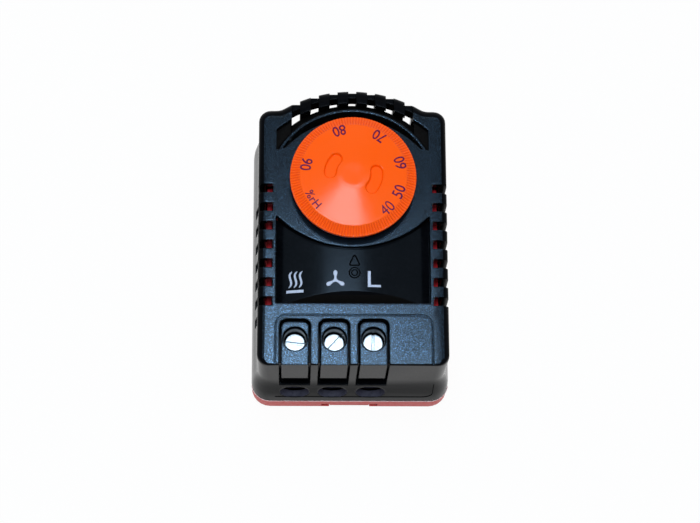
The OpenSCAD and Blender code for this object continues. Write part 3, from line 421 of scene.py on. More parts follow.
class Paintbox:
    """Every finish of the device, by slot and by special use."""

    def __init__(self) -> None:
        """Build the shared effects and all finishes."""
        fx = Effects()
        cool = (0.55, 0.77, 1.0)
        grey_dust = linear(74, 78, 86)
        self.field = Finish("housing_grained", linear(5, 10, 17), linear(56, 78, 98), 0.135,
                            rough_spread=-0.03, grain_scale=5600, glint=0.65, flakes=True,
                            grain_depth_mm=0.006, tint=cool, specular=0.13, dust_amount=0.03,
                            edge_width_mm=0.5, dust_colour=grey_dust).material(fx)
        self.gloss = Finish("housing_polished", linear(2, 3, 5), linear(4, 5, 8), 0.15,
                            rough_spread=0.03, grain_scale=900, grain_depth_mm=0.0004,
                            tint=(0.85, 0.92, 1.0), specular=0.022, edge_width_mm=0.5,
                            dust_amount=0.03, dust_colour=grey_dust).material(fx)
        self.recess = Finish("housing_recess", linear(2, 3, 5), linear(4, 5, 8), 0.15,
                             rough_spread=0.03, grain_scale=900, grain_depth_mm=0.0004,
                             tint=cool, specular=0.08, dust_amount=0.03,
                             dust_colour=grey_dust).material(fx)
        # Also laid on the base's floor under the terminals as painted shade.
        self.inside = Finish("housing_inside_and_painted_shade", linear(2, 2, 2), linear(4, 3, 3), 0.7,
                             grain_scale=900, specular=0.06, dust_amount=0.0).material(fx)
        # Grey on the wire entries' walls is painted light on the black plastic.
        self.painted_light_entry_wall = Finish("wire_entry_painted_light", linear(66, 66, 80), linear(56, 56, 70), 0.6,
                           grain_scale=900, specular=0.2, dust_amount=0.02).material(fx)
        self.by_slot = {
            Slot.BLACK: self.gloss,
            Slot.RED: Finish("base_red", linear(190, 22, 36), linear(172, 18, 30), 0.4,
                             grain_scale=900, grain_depth_mm=0.006, specular=0.12,
                             # Its pale pink below 7 mm is painted glare, a painted reflection on
                             # the front strip.
                             edge_colour=linear(196, 34, 44), painted_glare_colour=linear(222, 82, 78),
                             dust_colour=linear(190, 130, 126)).material(fx),
            Slot.ORANGE: DialFinish().material(fx),
            Slot.IVORY: Finish("acetal_ivory", linear(214, 206, 184), linear(198, 188, 163), 0.42,
                               edge_colour=linear(226, 220, 202)).material(fx),
            Slot.SWITCH: Finish("switch_grey", linear(82, 86, 92), linear(66, 70, 77), 0.5,
                                edge_colour=linear(106, 110, 116)).material(fx),
            Slot.BAND: Finish("band_film", linear(206, 214, 212), linear(188, 198, 196), 0.28,
                              transmission=0.35, grain_depth_mm=0.004).material(fx),
            Slot.BRASS: Finish("stamped_brass", linear(214, 176, 96), linear(190, 148, 72), 0.28,
                               metallic=1.0, lines=True, dust_colour=linear(150, 120, 80),
                               grain_depth_mm=0.004).material(fx),
            Slot.COPPER: Finish("contact_copper", linear(214, 142, 104), linear(186, 112, 76), 0.3,
                                metallic=1.0, lines=True, dust_colour=linear(120, 84, 66),
                                grain_depth_mm=0.004).material(fx),
            Slot.ZINC: Finish("zinc_plate", linear(178, 190, 198), linear(154, 168, 180), 0.42,
                              metallic=1.0, lines=True, dust_colour=linear(160, 165, 170),
                              grain_depth_mm=0.006).material(fx),
            Slot.SPRING: Finish("spring_wire", linear(176, 180, 186), linear(146, 150, 158), 0.26,
                                metallic=1.0, grain_depth_mm=0.002,
                                dust_colour=linear(120, 120, 124)).material(fx),
        }
        self.white_print = Finish("white_print", linear(180, 192, 214), linear(164, 178, 202), 0.5,
                                  grain_scale=3000, grain_depth_mm=0.004).material(fx)
        self.violet_print = Finish("violet_print", linear(92, 2, 62), linear(104, 6, 56), 0.4,
                                   specular=0.15, grain_scale=3000, grain_depth_mm=0.004,
                                   dust_colour=linear(160, 60, 70)).material(fx)
        # A pale pink tube on the base's edge is a painted highlight of the edge's glare.
        self.painted_highlight = Finish("base_edge_painted_highlight", linear(255, 226, 222), linear(250, 200, 196), 0.3,
                           grain_scale=600, dust_amount=0.0).material(fx)
        self.mark = Finish("moulded_mark", linear(1, 2, 3), linear(2, 3, 5), 0.7, specular=0.03,
                           grain_depth_mm=0.004, dust_amount=0.0).material(fx)


# Mesh building


def piece_from_arrays(name: str, points: np.ndarray,
                      faces: np.ndarray | Sequence) -> bpy.types.Object:
    """Make an object at the origin from points in millimetres.

    Args:
        name: The object's name.
        points: Points as an n by 3 array, in millimetres.
        faces: Faces as rows of point numbers.

    Returns:
        The object, linked to the scene.
    """
    mesh = bpy.data.meshes.new(name)
    rows = faces.tolist() if isinstance(faces, np.ndarray) else faces
    mesh.from_pydata((np.asarray(points, float) * MM).tolist(), [], rows)
    mesh.validate()
    piece = bpy.data.objects.new(name, mesh)
    bpy.context.collection.objects.link(piece)
    return piece


def weld(piece: bpy.types.Object, gap_mm: float = 0.0005) -> None:
    """Merge points that coincide and turn the faces outwards.

    Args:
        piece: The object whose mesh is welded.
        gap_mm: How far apart merged points may lie.
    """
    shape = bmesh.new()
    shape.from_mesh(piece.data)
    bmesh.ops.remove_doubles(shape, verts=shape.verts, dist=gap_mm * MM)
    bmesh.ops.recalc_face_normals(shape, faces=shape.faces)
    shape.to_mesh(piece.data)
    shape.free()


def smooth(piece: bpy.types.Object, angle: float = 32.0) -> None:
    """Shade a piece smooth, with creases where faces meet at more than angle degrees."""
    piece.data.shade_smooth()
    piece.data.set_sharp_from_angle(angle=math.radians(angle))


def lattice(name: str, points: np.ndarray, wrap_rows: bool = False) -> bpy.types.Object:
    """Join a grid of points, whose columns run round a closed loop, into a surface.

    Args:
        name: The object's name.
        points: A rows by columns by 3 array, in millimetres.
        wrap_rows: Whether the last row joins the first.

    Returns:
        The welded object.
    """
    rows, columns = points.shape[:2]
    count = rows if wrap_rows else rows - 1
    r, c = np.meshgrid(np.arange(count), np.arange(columns), indexing="ij")
    after, beside = (r + 1) % rows, (c + 1) % columns
    faces = np.stack([r * columns + c, r * columns + beside, after * columns + beside,
                      after * columns + c], axis=-1).reshape(-1, 4)
    piece = piece_from_arrays(name, points.reshape(-1, 3), faces)
    weld(piece)
    smooth(piece)
    return piece


def plate(name: str, outlines: Sequence[np.ndarray], height: Curve, thickness: float,
          sink: float = 0.01) -> bpy.types.Object:
    """Fill closed outlines and lay them as a thin raised plate on a surface.

    Args:
        name: The object's name.
        outlines: Each an n by 2 array of points, in millimetres.
        height: The surface's height at an array of plan points.
        thickness: How far the plate stands above the surface.
        sink: How far its underside lies below the surface.

    Returns:
        The object, a closed thin solid for each outline.
    """
    points, faces = [], []
    for outline in outlines:
        base, n = sum(len(p) for p in points), len(outline)
        z = height(outline)
        points += [np.c_[outline, z - sink], np.c_[outline, z + thickness]]
        around = np.arange(n)
        ahead = (around + 1) % n
        sides = np.stack([base + around, base + ahead, base + n + ahead, base + n + around], 1)
        faces += [list(range(base + n - 1, base - 1, -1)), list(range(base + n, base + 2 * n))]
        faces += sides.tolist()
    piece = piece_from_arrays(name, np.concatenate(points), faces)
    shape = bmesh.new()
    shape.from_mesh(piece.data)
    bmesh.ops.triangulate(shape, faces=[f for f in shape.faces if len(f.verts) > 4])
    bmesh.ops.recalc_face_normals(shape, faces=shape.faces)
    shape.to_mesh(piece.data)
    shape.free()
    return piece


def stroke(centre: np.ndarray, half: np.ndarray) -> np.ndarray:
    """Outline a stroke: each centre point moved sideways by its half width.

    Args:
        centre: Points along the middle, as rows of x and y.
        half: Half width at each point.

    Returns:
        The outline, up one side and down the other.
    """
    heading = np.gradient(centre, axis=0)
    heading /= np.linalg.norm(heading, axis=1, keepdims=True)
    side = np.c_[-heading[:, 1], heading[:, 0]] * half[:, None]
    return np.concatenate([centre + side, (centre - side)[::-1]])


def tube(name: str, path: np.ndarray, radius: float, sides: int = 8) -> bpy.types.Object:
    """Carry a circle along an open path, its ends closed by small caps.

    Each section turns with the path: its first axis is the part of a fixed reference that lies
    across the heading, and its second is the cross product of the two.

    Args:
        name: The object's name.
        path: An n by 3 array, in millimetres.
        radius: The wire's radius.
        sides: Points round a section.

    Returns:
        The object.
    """
    heading = np.gradient(path, axis=0)
    heading /= np.linalg.norm(heading, axis=1, keepdims=True)
    normal = np.zeros_like(path)
    reference = np.array([0.31, 0.12, 0.94])
    for i, direction in enumerate(heading):
        reference = reference - direction * (reference @ direction)
        reference /= np.linalg.norm(reference)
        normal[i] = reference
    binormal = np.cross(heading, normal)
    turn = np.linspace(0, 2 * math.pi, sides, endpoint=False)
    ring = (np.cos(turn)[None, :, None] * normal[:, None]
            + np.sin(turn)[None, :, None] * binormal[:, None])
    rows = path[:, None] + radius * ring
    ends = [np.repeat(path[k][None, None], sides, 1) for k in (0, -1)]
    return lattice(name, np.concatenate([ends[0], rows, ends[1]]))


def refined(node: str) -> bpy.types.Object:
    """Copy a CAD node, merge its triangles and shade it evenly; its finish softens the edges.

    Args:
        node: The CAD node.

    Returns:
        The object, which replaces the node.
    """
    mesh = frame["nodes"][node].data.copy()
    mesh.attributes.remove(mesh.attributes["custom_normal"])
    piece = bpy.data.objects.new(node + "_skin", mesh)
    bpy.context.collection.objects.link(piece)
    shape = bmesh.new()
    shape.from_mesh(mesh)
    bmesh.ops.remove_doubles(shape, verts=shape.verts, dist=0.001 * MM)
    shape.to_mesh(mesh)
    shape.free()
    smooth(piece)
    even = piece.modifiers.new("even_shading", "WEIGHTED_NORMAL")
    even.mode = "FACE_AREA"
    even.weight = 100
    even.keep_sharp = True
    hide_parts(node)
    return piece


def facets(piece: bpy.types.Object) -> tuple[np.ndarray, np.ndarray]:
    """Measure where a piece's faces lie and point.

    Args:
        piece: The object.

    Returns:
        The faces' middles, in millimetres, and their normals.
    """
    count = len(piece.data.polygons)
    middle, normal = np.empty(count * 3), np.empty(count * 3)
    piece.data.polygons.foreach_get("center", middle)
    piece.data.polygons.foreach_get("normal", normal)
    return middle.reshape(-1, 3) / MM, normal.reshape(-1, 3)


def share_out(piece: bpy.types.Object,
              picks: Sequence[tuple[bpy.types.Material, np.ndarray]]) -> None:
    """Give the faces that each mask picks that mask's material; later masks win.

    Args:
        piece: The object, which keeps its first material elsewhere.
        picks: Pairs of a material and a mask over the faces.
    """
    index = np.zeros(len(piece.data.polygons), dtype=np.int32)
    for material, mask in picks:
        piece.data.materials.append(material)
        index[mask] = len(piece.data.materials) - 1
    piece.data.polygons.foreach_set("material_index", index)
    piece.data.update()


def fit(piece: bpy.types.Object, body: Body, material: bpy.types.Material) -> None:
    """Give a piece its body and material, and report it.

    Args:
        piece: The object.
        body: The body that it moves with.
        material: Its finish.
    """
    piece.data.materials.clear()
    piece.data.materials.append(material)
    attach(piece, body.value)
    LOG.info("%s rides on %s", piece.name, body.value)


# The device's sub-assemblies


@dataclass
class Housing:
    """Black cover and red base, in millimetres."""

    paint: Paintbox
    bottom_y: float = -34.8
    flare: float = 1.7
    flare_low_z: float = 6.8
    flare_high_z: float = 23.0
    wall: float = 1.7
    arch_y: float = 3.5
    inner_r: float = 31.3
    inner_x: float = 21.6
    rim_r: float = 28.7
    teeth_x: float = 15.2
    roof_z: float = 36.0
    panel_z: tuple[float, float] = (33.5, 37.4)
    field_z: float = 37.6
    horn_y: float = 17.5
    horn_z: float = 37.3
    entry_x: tuple[float, ...] = (-14.1, -4.6, 4.9)
    entry_z: float = 13.8
    entry_r: float = 3.7
    entry_depth: float = 4.0
    floor_x: float = 20.0
    floor_depth: float = 6.0
    floor_z: float = 1.5
    line_x: tuple[float, float] = (-19.0, 18.0)
    line_z: tuple[float, float] = (10.5, 19.0)
    line_bend: float = 2.6
    line_r: float = 0.09
    # Where the painted highlight on the base's edge runs.
    highlight_corner: tuple[float, float] = (-20.3, -31.8)
    highlight_bend: float = 4.7
    highlight_z: float = 6.72
    highlight_r: float = 0.13
    flat: float = 0.985

    def wall_y(self, z: np.ndarray) -> np.ndarray:
        """Return where the bottom wall lies at height z, which flares out towards the base."""
        t = np.clip((self.flare_high_z - z) / (self.flare_high_z - self.flare_low_z), 0, 1)
        return self.bottom_y - self.flare * t * t * (3 - 2 * t)

    def seam(self) -> bpy.types.Object:
        """Make the thin moulded line on the bottom wall.

        The line runs straight along the wall, turns through a quarter circle and goes up it.

        Returns:
            The object.
        """
        (left, right), (low, high), bend = self.line_x, self.line_z, self.line_bend
        turn = np.radians(np.linspace(-90, 0, 12))
        corner = np.c_[right + bend * np.cos(turn), low + bend + bend * np.sin(turn)]
        along = np.linspace(left, right, 60)[:-1]
        x = np.concatenate([along, corner[:, 0], [right + bend]])
        z = np.concatenate([np.full(len(along), low), corner[:, 1], [high]])
        return tube("bottom_wall_line", np.c_[x, self.wall_y(z) - 0.01, z], self.line_r, 6)

    def base_edge(self) -> bpy.types.Object:
        """Make a thin pale tube where the base's front edge meets the cover: a painted highlight.

        The tube runs along a circle's arc at one corner, straight across, and along the arc's
        mirror image.

        Returns:
            The object.
        """
        turn = np.radians(np.linspace(190, 270, 14))
        left = self.highlight_corner + self.highlight_bend * np.c_[np.cos(turn), np.sin(turn)]
        plan = np.concatenate([left, left[::-1] * [-1, 1]])
        return tube("base_edge", np.c_[plan, np.full(len(plan), self.highlight_z)], self.highlight_r)

    def cover(self) -> None:
        """Dress the cover: polished, but for its inside, label panel, grained front and entries.

        The entries' walls are painted grey: painted light on the black plastic.
        """
        cover = refined("front_cover")
        fit(cover, Body.HOUSING, self.paint.gloss)
        middle, normal = facets(cover)
        x, y, z = middle.T
        arch = np.hypot(x, np.maximum(y - self.arch_y, 0)) < self.inner_r
        beside = (np.abs(x) < self.inner_x) | (x * normal[:, 0] < -5)
        within = beside & (y > self.bottom_y + self.wall) & arch
        inside = within & ((z < self.roof_z - 0.1) | ((y > self.horn_y) & (z < self.horn_z)))
        low, high = self.panel_z
        panel = (normal[:, 2] > 0.85) & (z < high) & (z > low) & (y < 0)
        rim = (np.hypot(x, y - self.arch_y) > self.rim_r) & (np.abs(x) < self.teeth_x) & (y > 0)
        field = (normal[:, 2] > self.flat) & (z > self.field_z) & ~rim
        away = np.min([np.hypot(x - c, z - self.entry_z) for c in self.entry_x], 0)
        entry = (away < self.entry_r + 0.1) & (y < self.bottom_y + self.entry_depth)
        # Painted light: the entries' side walls take the grey finish.
        painted_light_entry_wall = entry & (np.abs(normal[:, 1]) < 0.3)
        share_out(cover, ((self.paint.inside, inside), (self.paint.recess, panel),
                          (self.paint.field, field), (self.paint.painted_light_entry_wall, painted_light_entry_wall)))

    def base(self) -> None:
        """Dress the base; its floor under the terminals is painted near black as painted shade."""
        base = refined("rear_base")
        fit(base, Body.HOUSING, self.paint.by_slot[Slot.RED])
        x, y, z = facets(base)[0].T
        depth = y - self.bottom_y
        painted_shade_under = (np.abs(x) < self.floor_x) & (depth > 0) & (depth < self.floor_depth)
        # Painted shade: the base's floor under the terminals is coloured near black, not red.
        share_out(base, ((self.paint.inside, painted_shade_under & (z > self.floor_z)),))

    def build(self) -> None:
        """Build the cover, the base, the wall's line and the painted highlight on the base's edge.
        """
        self.cover()
        self.base()
        fit(self.seam(), Body.HOUSING, self.paint.mark)
        fit(self.base_edge(), Body.HOUSING, self.paint.painted_highlight)


@dataclass(frozen=True)
class Lettering:
    """How words are printed on the dial's cone, in millimetres.

    Squeeze is the letters' width as a share of the font's own, and ink thickens the strokes.
    """

    radius: float
    size: float
    squeeze: float
    ink: float


FIGURES = Lettering(11.85, 2.8, 0.86, 0.012)
FINE_FIGURES = replace(FIGURES, ink=0.0)
UNIT = Lettering(11.75, 2.05, 0.98, 0.01)


@dataclass
class Dial:
    """Orange setting dial with its knurl, finger pockets and printed scale, in millimetres."""

    paint: Paintbox
    centre_y: float = 11.8
    centre_r: float = 3.7
    face_r: float = 13.06
    rim_r: float = 15.5
    top_z: float = 44.4
    face_z: float = 43.1
    rim_z: float = 41.9
    foot_z: float = 38.5
    hub_r: float = 4.6
    hub_z: float = 35.5
    ridges: int = 132
    ridge_mm: float = 0.22
    face_rows: int = 62
    pocket_r: float = 5.65
    pocket_half: float = 1.65
    pocket_wall: float = 0.42
    pocket_mm: float = 0.75
    pockets: tuple[tuple[float, float], ...] = ((122.0, 193.0), (-55.0, 24.0))

    def profile(self) -> np.ndarray:
        """Work out the dial's section.

        Returns:
            Rows of radius, height and share of the knurl.
        """
        face = np.linspace(self.centre_r + 0.25, self.face_r - 0.3, 56)
        slope = (self.face_z - self.top_z) / (self.face_r - self.centre_r)
        rows = [(0, self.top_z - 0.03, 0), (1.2, self.top_z - 0.02, 0), (2.6, self.top_z, 0),
                (self.centre_r - 0.3, self.top_z - 0.01, 0), (self.centre_r, self.top_z - 0.04, 0)]
        rows += [(r, self.top_z + slope * (r - self.centre_r), 0) for r in face]
        edge = (self.rim_r - self.face_r, self.rim_z - self.face_z)
        rows += [(self.face_r - 0.08, self.face_z + 0.03, 0), (self.face_r + 0.06,
                 self.face_z - 0.04, 0)]
        rows += [(self.face_r + edge[0] * t, self.face_z + edge[1] * t, k)
                 for t, k in ((0.1, 0.5), (0.2, 1), (0.45, 1), (0.7, 1), (0.86, 0.9), (0.95, 0.5))]
        rows += [(self.rim_r - 0.04, self.rim_z, 0.2), (self.rim_r, self.rim_z - 0.15, 0),
                 (self.rim_r, self.rim_z - 0.85, 0), (self.rim_r - 0.06, self.rim_z - 1, 0),
                 (self.rim_r - 0.22, self.rim_z - 1.12, 0),
                 (self.rim_r - 0.86, self.foot_z + 0.15, 0), (self.rim_r - 0.98, self.foot_z, 0),
                 (self.rim_r - 2.2, self.foot_z, 0), (self.rim_r - 2.3, self.foot_z + 0.1, 0),
                 (self.rim_r - 1.9, self.rim_z - 1, 0), (11.66, self.rim_z - 0.5, 0),
                 (self.hub_r, self.rim_z - 0.1, 0), (self.hub_r, self.hub_z, 0),
                 (0, self.hub_z, 0)]
        return np.array(rows)

    def pocket_depth(self, radius: np.ndarray, angle: np.ndarray) -> np.ndarray:
        """Work out how deep the finger pockets are.

        A pocket is the band within half its width of an arc: the distance to the arc, less that
        half width, runs through a smooth step at its wall.

        Args:
            radius: Distances from the axis.
            angle: Directions round it, in radians.

        Returns:
            The depth at each, in millimetres.
        """
        mid, half = self.pocket_r, self.pocket_half
        depth = np.zeros(np.broadcast(radius, angle).shape)
        for low, high in self.pockets:
            trim = math.degrees(half / mid)
            centre, reach = (low + high) / 2, (high - low) / 2 - trim
            away = (np.degrees(angle) - centre + 180) % 360 - 180
            over = np.radians(np.maximum(np.abs(away) - reach, 0))
            x, y = radius * np.cos(over) - mid, radius * np.sin(over)
            t = np.clip((half - np.hypot(x, y)) / self.pocket_wall, 0, 1)
            depth = np.maximum(depth, self.pocket_mm * t * t * (3 - 2 * t))
        return depth

    def face_height(self, radius: np.ndarray) -> np.ndarray:
        """Return the height of the cone at radius."""
        slope = (self.face_z - self.top_z) / (self.face_r - self.centre_r)
        return self.top_z + slope * (np.maximum(radius, self.centre_r) - self.centre_r)

    def body(self) -> bpy.types.Object:
        """Turn the section round the axis, cut the ridges and press the pockets in.

        Returns:
            The object.
        """
        profile = self.profile()
        columns = self.ridges * 8
        angle = np.linspace(0, 2 * math.pi, columns, endpoint=False)[None]
        radius, height, share = (profile[:, k][:, None] for k in range(3))
        ridge = self.ridge_mm * share * (0.5 + 0.5 * np.cos(self.ridges * angle))
        on_face = (np.arange(len(profile)) < self.face_rows)[:, None]
        drop = np.where(on_face, self.pocket_depth(radius, angle), 0)
        reach = radius - ridge * 0.45
        points = np.stack([reach * np.cos(angle), self.centre_y + reach * np.sin(angle),
                           height - ridge * 0.9 - drop + 0 * angle], axis=-1)
        return lattice("dial_body", points)

    def print_words(self, name: str, words: str, angle: float, style: Lettering) -> None:
        """Print words on the cone, bent round the axis, with their tops towards the centre.

        Args:
            name: The object's name.
            words: What is printed.
            angle: Direction of the middle of the words, in degrees.
            style: How they are printed.
        """
        curve = bpy.data.curves.new(name, "FONT")
        curve.body, curve.align_x, curve.align_y = words, "CENTER", "CENTER"
        curve.extrude, curve.offset, curve.resolution_u = 0.02, style.ink, 6
        carrier = bpy.data.objects.new(name + "_type", curve)
        bpy.context.collection.objects.link(carrier)
        bpy.context.view_layer.update()
        graph = bpy.context.evaluated_depsgraph_get()
        mesh = bpy.data.meshes.new_from_object(carrier.evaluated_get(graph))
        bpy.data.objects.remove(carrier)
        flat = np.empty(len(mesh.vertices) * 3)
        mesh.vertices.foreach_get("co", flat)
        flat = flat.reshape(-1, 3)
        low, high = flat.min(0), flat.max(0)
        scale = style.size / (high[1] - low[1])
        x = (flat[:, 0] - (low[0] + high[0]) / 2) * scale * style.squeeze
        y = (flat[:, 1] - (low[1] + high[1]) / 2) * scale
        r, a = style.radius - y, math.radians(angle) + x / style.radius
        z = self.face_height(r) + np.where(flat[:, 2] > 0, 0.025, -0.03)
        points = np.c_[r * np.cos(a), self.centre_y + r * np.sin(a), z] * MM
        mesh.vertices.foreach_set("co", points.ravel())
        mesh.update()
        piece = bpy.data.objects.new(name, mesh)
        bpy.context.collection.objects.link(piece)
        weld(piece)
        fit(piece, Body.DIAL, self.paint.violet_print)

    def build(self) -> None:
        """Build the dial and print its scale."""
        body = self.body()
        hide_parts("setpoint_dial")
        fit(body, Body.DIAL, self.paint.by_slot[Slot.ORANGE])
        scale = {"40": -46.4, "50": -21.0, "60": 15.3, "70": 57.8, "80": 106.8, "90": 167.4}
        for words, angle in scale.items():
            # A thickened 4 would close up its small opening.
            style = FINE_FIGURES if "4" in words else FIGURES
            self.print_words("scale_" + words, words, angle, style)
        self.print_words("scale_unit", "%rH", -147.0, UNIT)


@dataclass
class LabelPanel:
    """Marks on the crowned label panel, in millimetres."""

    paint: Paintbox
    crown_radius: float = 72.7
    middle_z: float = 36.5
    print_mm: float = 0.04
    waves_x: tuple[float, ...] = (-15.3, -14.05, -12.8)
    wave_top: float = -10.6
    wave_fall: float = 4.15
    bar_x: tuple[float, float] = (-16.28, -12.06)
    bar_y: tuple[float, float] = (-16.1, -15.38)
    bar_slope: float = 0.02
    index_half: float = 0.2
    index_rise: float = 0.14
    dimple_at: tuple[float, float] = (0.4, -11.2)
    dimple_half: float = 0.18
    dimple_rise: float = 0.12

    def height(self, plan: np.ndarray) -> np.ndarray:
        """Return the panel's height, a cylinder about Y: middle less r - sqrt(r^2 - x^2)."""
        r = self.crown_radius
        return self.middle_z - (r - np.sqrt(r * r - plan[:, 0] ** 2))

    def heater(self) -> list[np.ndarray]:
        """Draw the heater symbol: three rising waves over a bar.

        Returns:
            The outlines of the waves and of the bar.
        """
        knots = np.array([0, 0.08, 0.2, 0.35, 0.5, 0.65, 0.8, 0.92, 1])
        sway = np.array([0.5, 0.08, -0.2, -0.16, 0.04, 0.22, 0.2, -0.06, -0.48])
        half = np.array([0.07, 0.2, 0.25, 0.26, 0.27, 0.26, 0.24, 0.18, 0.06])
        t = np.linspace(0, 1, 33)
        soft = np.ones(5) / 5
        wave = np.convolve(np.pad(np.interp(t, knots, sway), 2, "edge"), soft, "valid")
        width = np.interp(t, knots, half)
        marks = [stroke(np.c_[x + wave, self.wave_top - self.wave_fall * t], width)
                 for x in self.waves_x]
        x = np.linspace(*self.bar_x, 12)
        rise = self.bar_slope * (x - self.bar_x[0])
        low, high = self.bar_y
        bar = np.concatenate([np.c_[x, low + rise], np.c_[x, high + rise][::-1]])
        return marks + [bar]

    def fan(self) -> np.ndarray:
        """Draw the fan symbol: three paddle blades joined at the hub.

        Returns:
            Its one outline.
        """
        along = np.array([0.42, 0.9, 1.4, 1.8, 2.15, 2.4, 2.52])
        half = np.array([0.3, 0.27, 0.42, 0.52, 0.46, 0.28, 0.0])
        s = np.linspace(0, 1, 24)
        reach = np.interp(s, np.linspace(0, 1, 7), along)
        width = np.interp(s, np.linspace(0, 1, 7), half)
        outline = []
        for axis in (90, 210, 330):
            a = math.radians(axis)
            ahead = np.array([math.cos(a), math.sin(a)])
            side = np.array([-math.sin(a), math.cos(a)])
            right = reach[:, None] * ahead - width[:, None] * side
            left = reach[::-1, None] * ahead + width[::-1, None] * side
            outline += [right, left[1:]]
        return np.concatenate(outline) + np.array([-4.3, -13.05])

    def letter(self) -> np.ndarray:
        """Return the mark of the live terminal, two strokes at a right angle."""
        return np.array([[3.6, -10.75], [4.36, -10.75], [4.36, -14.22], [6.82, -14.22],
                         [6.82, -14.82], [3.6, -14.82]])

    def rim(self, name: str, outline: np.ndarray, half: float, rise: float) -> bpy.types.Object:
        """Raise a fine rounded rim along a closed outline on the panel.

        Args:
            name: The object's name.
            outline: Points along the rim's middle, as rows of x and y.
            half: Half the rim's width.
            rise: How far it stands above the panel.

        Returns:
            The object.
        """
        after, before = np.roll(outline, -1, 0), np.roll(outline, 1, 0)
        heading = after - before
        heading /= np.linalg.norm(heading, axis=1, keepdims=True)
        side = np.c_[-heading[:, 1], heading[:, 0]]
        z = self.height(outline)
        rows = [np.c_[outline + side * half * u, z + rise * w] for u, w in
                ((-1, -0.3), (-0.7, 0.7), (0, 1), (0.7, 0.7), (1, -0.3))]
        return lattice(name, np.stack(rows), wrap_rows=True)

    def index_outline(self) -> np.ndarray:
        """Draw a triangle that points at the dial, its corners rounded.

        Returns:
            Its outline.
        """
        corners = np.array([[0.4, -6.75], [1.5, -9.2], [-0.7, -9.2]])
        middle = corners.mean(0)
        points = []
        for k, corner in enumerate(corners):
            inner = corner + (middle - corner) * 0.22
            start = np.arctan2(*(corner - middle)[::-1])
            turn = start + np.radians(np.linspace(60, -60, 9))
            points.append(inner + 0.3 * np.c_[np.cos(turn), np.sin(turn)])
        return np.concatenate(points)

    def build(self) -> None:
        """Lay the white prints and raise the index mark and the dimple's rim."""
        for name, outlines in (("heater_mark", self.heater()), ("fan_mark", [self.fan()]),
                               ("live_mark", [self.letter()])):
            mark = plate(name, outlines, self.height, self.print_mm)
            fit(mark, Body.HOUSING, self.paint.white_print)
        index = self.rim("index_mark", self.index_outline(), self.index_half, self.index_rise)
        fit(index, Body.HOUSING, self.paint.mark)
        turn = np.linspace(0, 2 * math.pi, 48, endpoint=False)
        for name, r in (("dimple_rim", 1.3), ("dimple_step", 0.72)):
            circle = self.dimple_at + r * np.c_[np.cos(turn), np.sin(turn)]
            ring = self.rim(name, circle, self.dimple_half, self.dimple_rise)
            fit(ring, Body.HOUSING, self.paint.mark)


@dataclass
class Terminals:
    """Terminal block and its clamp screws."""

    paint: Paintbox
    tower_top_z: float = 37.5
    flat: float = 0.985

    def build(self) -> None:
        """Dress the block, grained on top of its towers, and the three screws."""
        block = refined("terminal_block")
        fit(block, Body.HOUSING, self.paint.gloss)
        middle, normal = facets(block)
        top = (normal[:, 2] > self.flat) & (middle[:, 2] > self.tower_top_z)
        share_out(block, ((self.paint.field, top),))
        for i, body in enumerate((Body.SCREW_1, Body.SCREW_2, Body.SCREW_3), 1):
            screw = refined(f"terminal_screw_{i}")
            fit(screw, body, self.paint.by_slot[Slot.ZINC])


@dataclass
class Mechanism:
    """Coil springs behind the cover, and the finish of every other inner part."""

    paint: Paintbox

    @staticmethod
    def coil(radius: float, turns: float, length: float, wire: float) -> np.ndarray:
        """Work out a helix along Y, which rises evenly with the angle.

        The cosine and sine of the angle are multiplied by the radius less half the wire.

        Args:
            radius: Outer radius of the coil.
            turns: Number of turns.
            length: Distance from end to end.
            wire: The wire's diameter.

        Returns:
            Points of x, y and z along the wire's middle, half a wire inside both ends.
        """
        t = np.linspace(0, 1, int(turns * 24) + 1)
        a = 2 * math.pi * turns * t
        q = radius - wire / 2
        return np.c_[q * np.cos(a), wire / 2 + (length - wire) * t, q * np.sin(a)]

    def spring(self, node: str, radius: float, turns: float, wire: float, body: Body) -> None:
        """Make a round-wire coil in a CAD spring's place, from the housing towards a body.

        Args:
            node: The CAD node that the coil replaces.
            radius: Outer radius of the coil.
            turns: Number of turns.
            wire: The wire's diameter.
            body: The body at its far end, only named in the log.
        """
        low, high = (np.array(v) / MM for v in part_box(node))
        centre = (low + high) / 2
        path = self.coil(radius, turns, high[1] - low[1] - 0.02, wire)
        path += [centre[0], low[1] + 0.01, centre[2]]
        piece = tube(node + "_coil", path, wire / 2)
        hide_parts(node)
        piece.data.materials.append(self.paint.by_slot[Slot.SPRING])
        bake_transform(piece)
        LOG.info("%s stretches from the housing to %s", piece.name, body.value)

    def springs(self) -> None:
        """Make the three springs."""
        self.spring("tension_spring", 1.2, 13, 0.4, Body.SETTING_ARM)
        self.spring("latch_spring", 0.85, 7, 0.3, Body.LATCH)
        self.spring("plunger_spring", 1.4, 3, 0.25, Body.PLUNGER)

    def build(self) -> None:
        """Dress every CAD node by its slot in the record."""
        for part in frame["record"]["subparts"]:
            item = frame["nodes"][part["node"]]
            slot = Slot(part["material_slot"])
            item.data.materials.clear()
            item.data.materials.append(self.paint.by_slot[slot])
            LOG.info("%s wears %s", part["node"], slot.value)


# Stage


def background_rays(g: Graph) -> object:
    """Pick the rays that show the background: seen straight, mirrored or through glass.

    Args:
        g: The graph that the nodes are added to.

    Returns:
        An output that is 1 for those rays and 0 for the rest.
    """
    ray = g.add("LightPath")
    seen = g.maths("ADD", ray.outputs["Is Camera Ray"], ray.outputs["Is Transmission Ray"])
    return g.maths("ADD", seen, ray.outputs["Is Glossy Ray"], True)


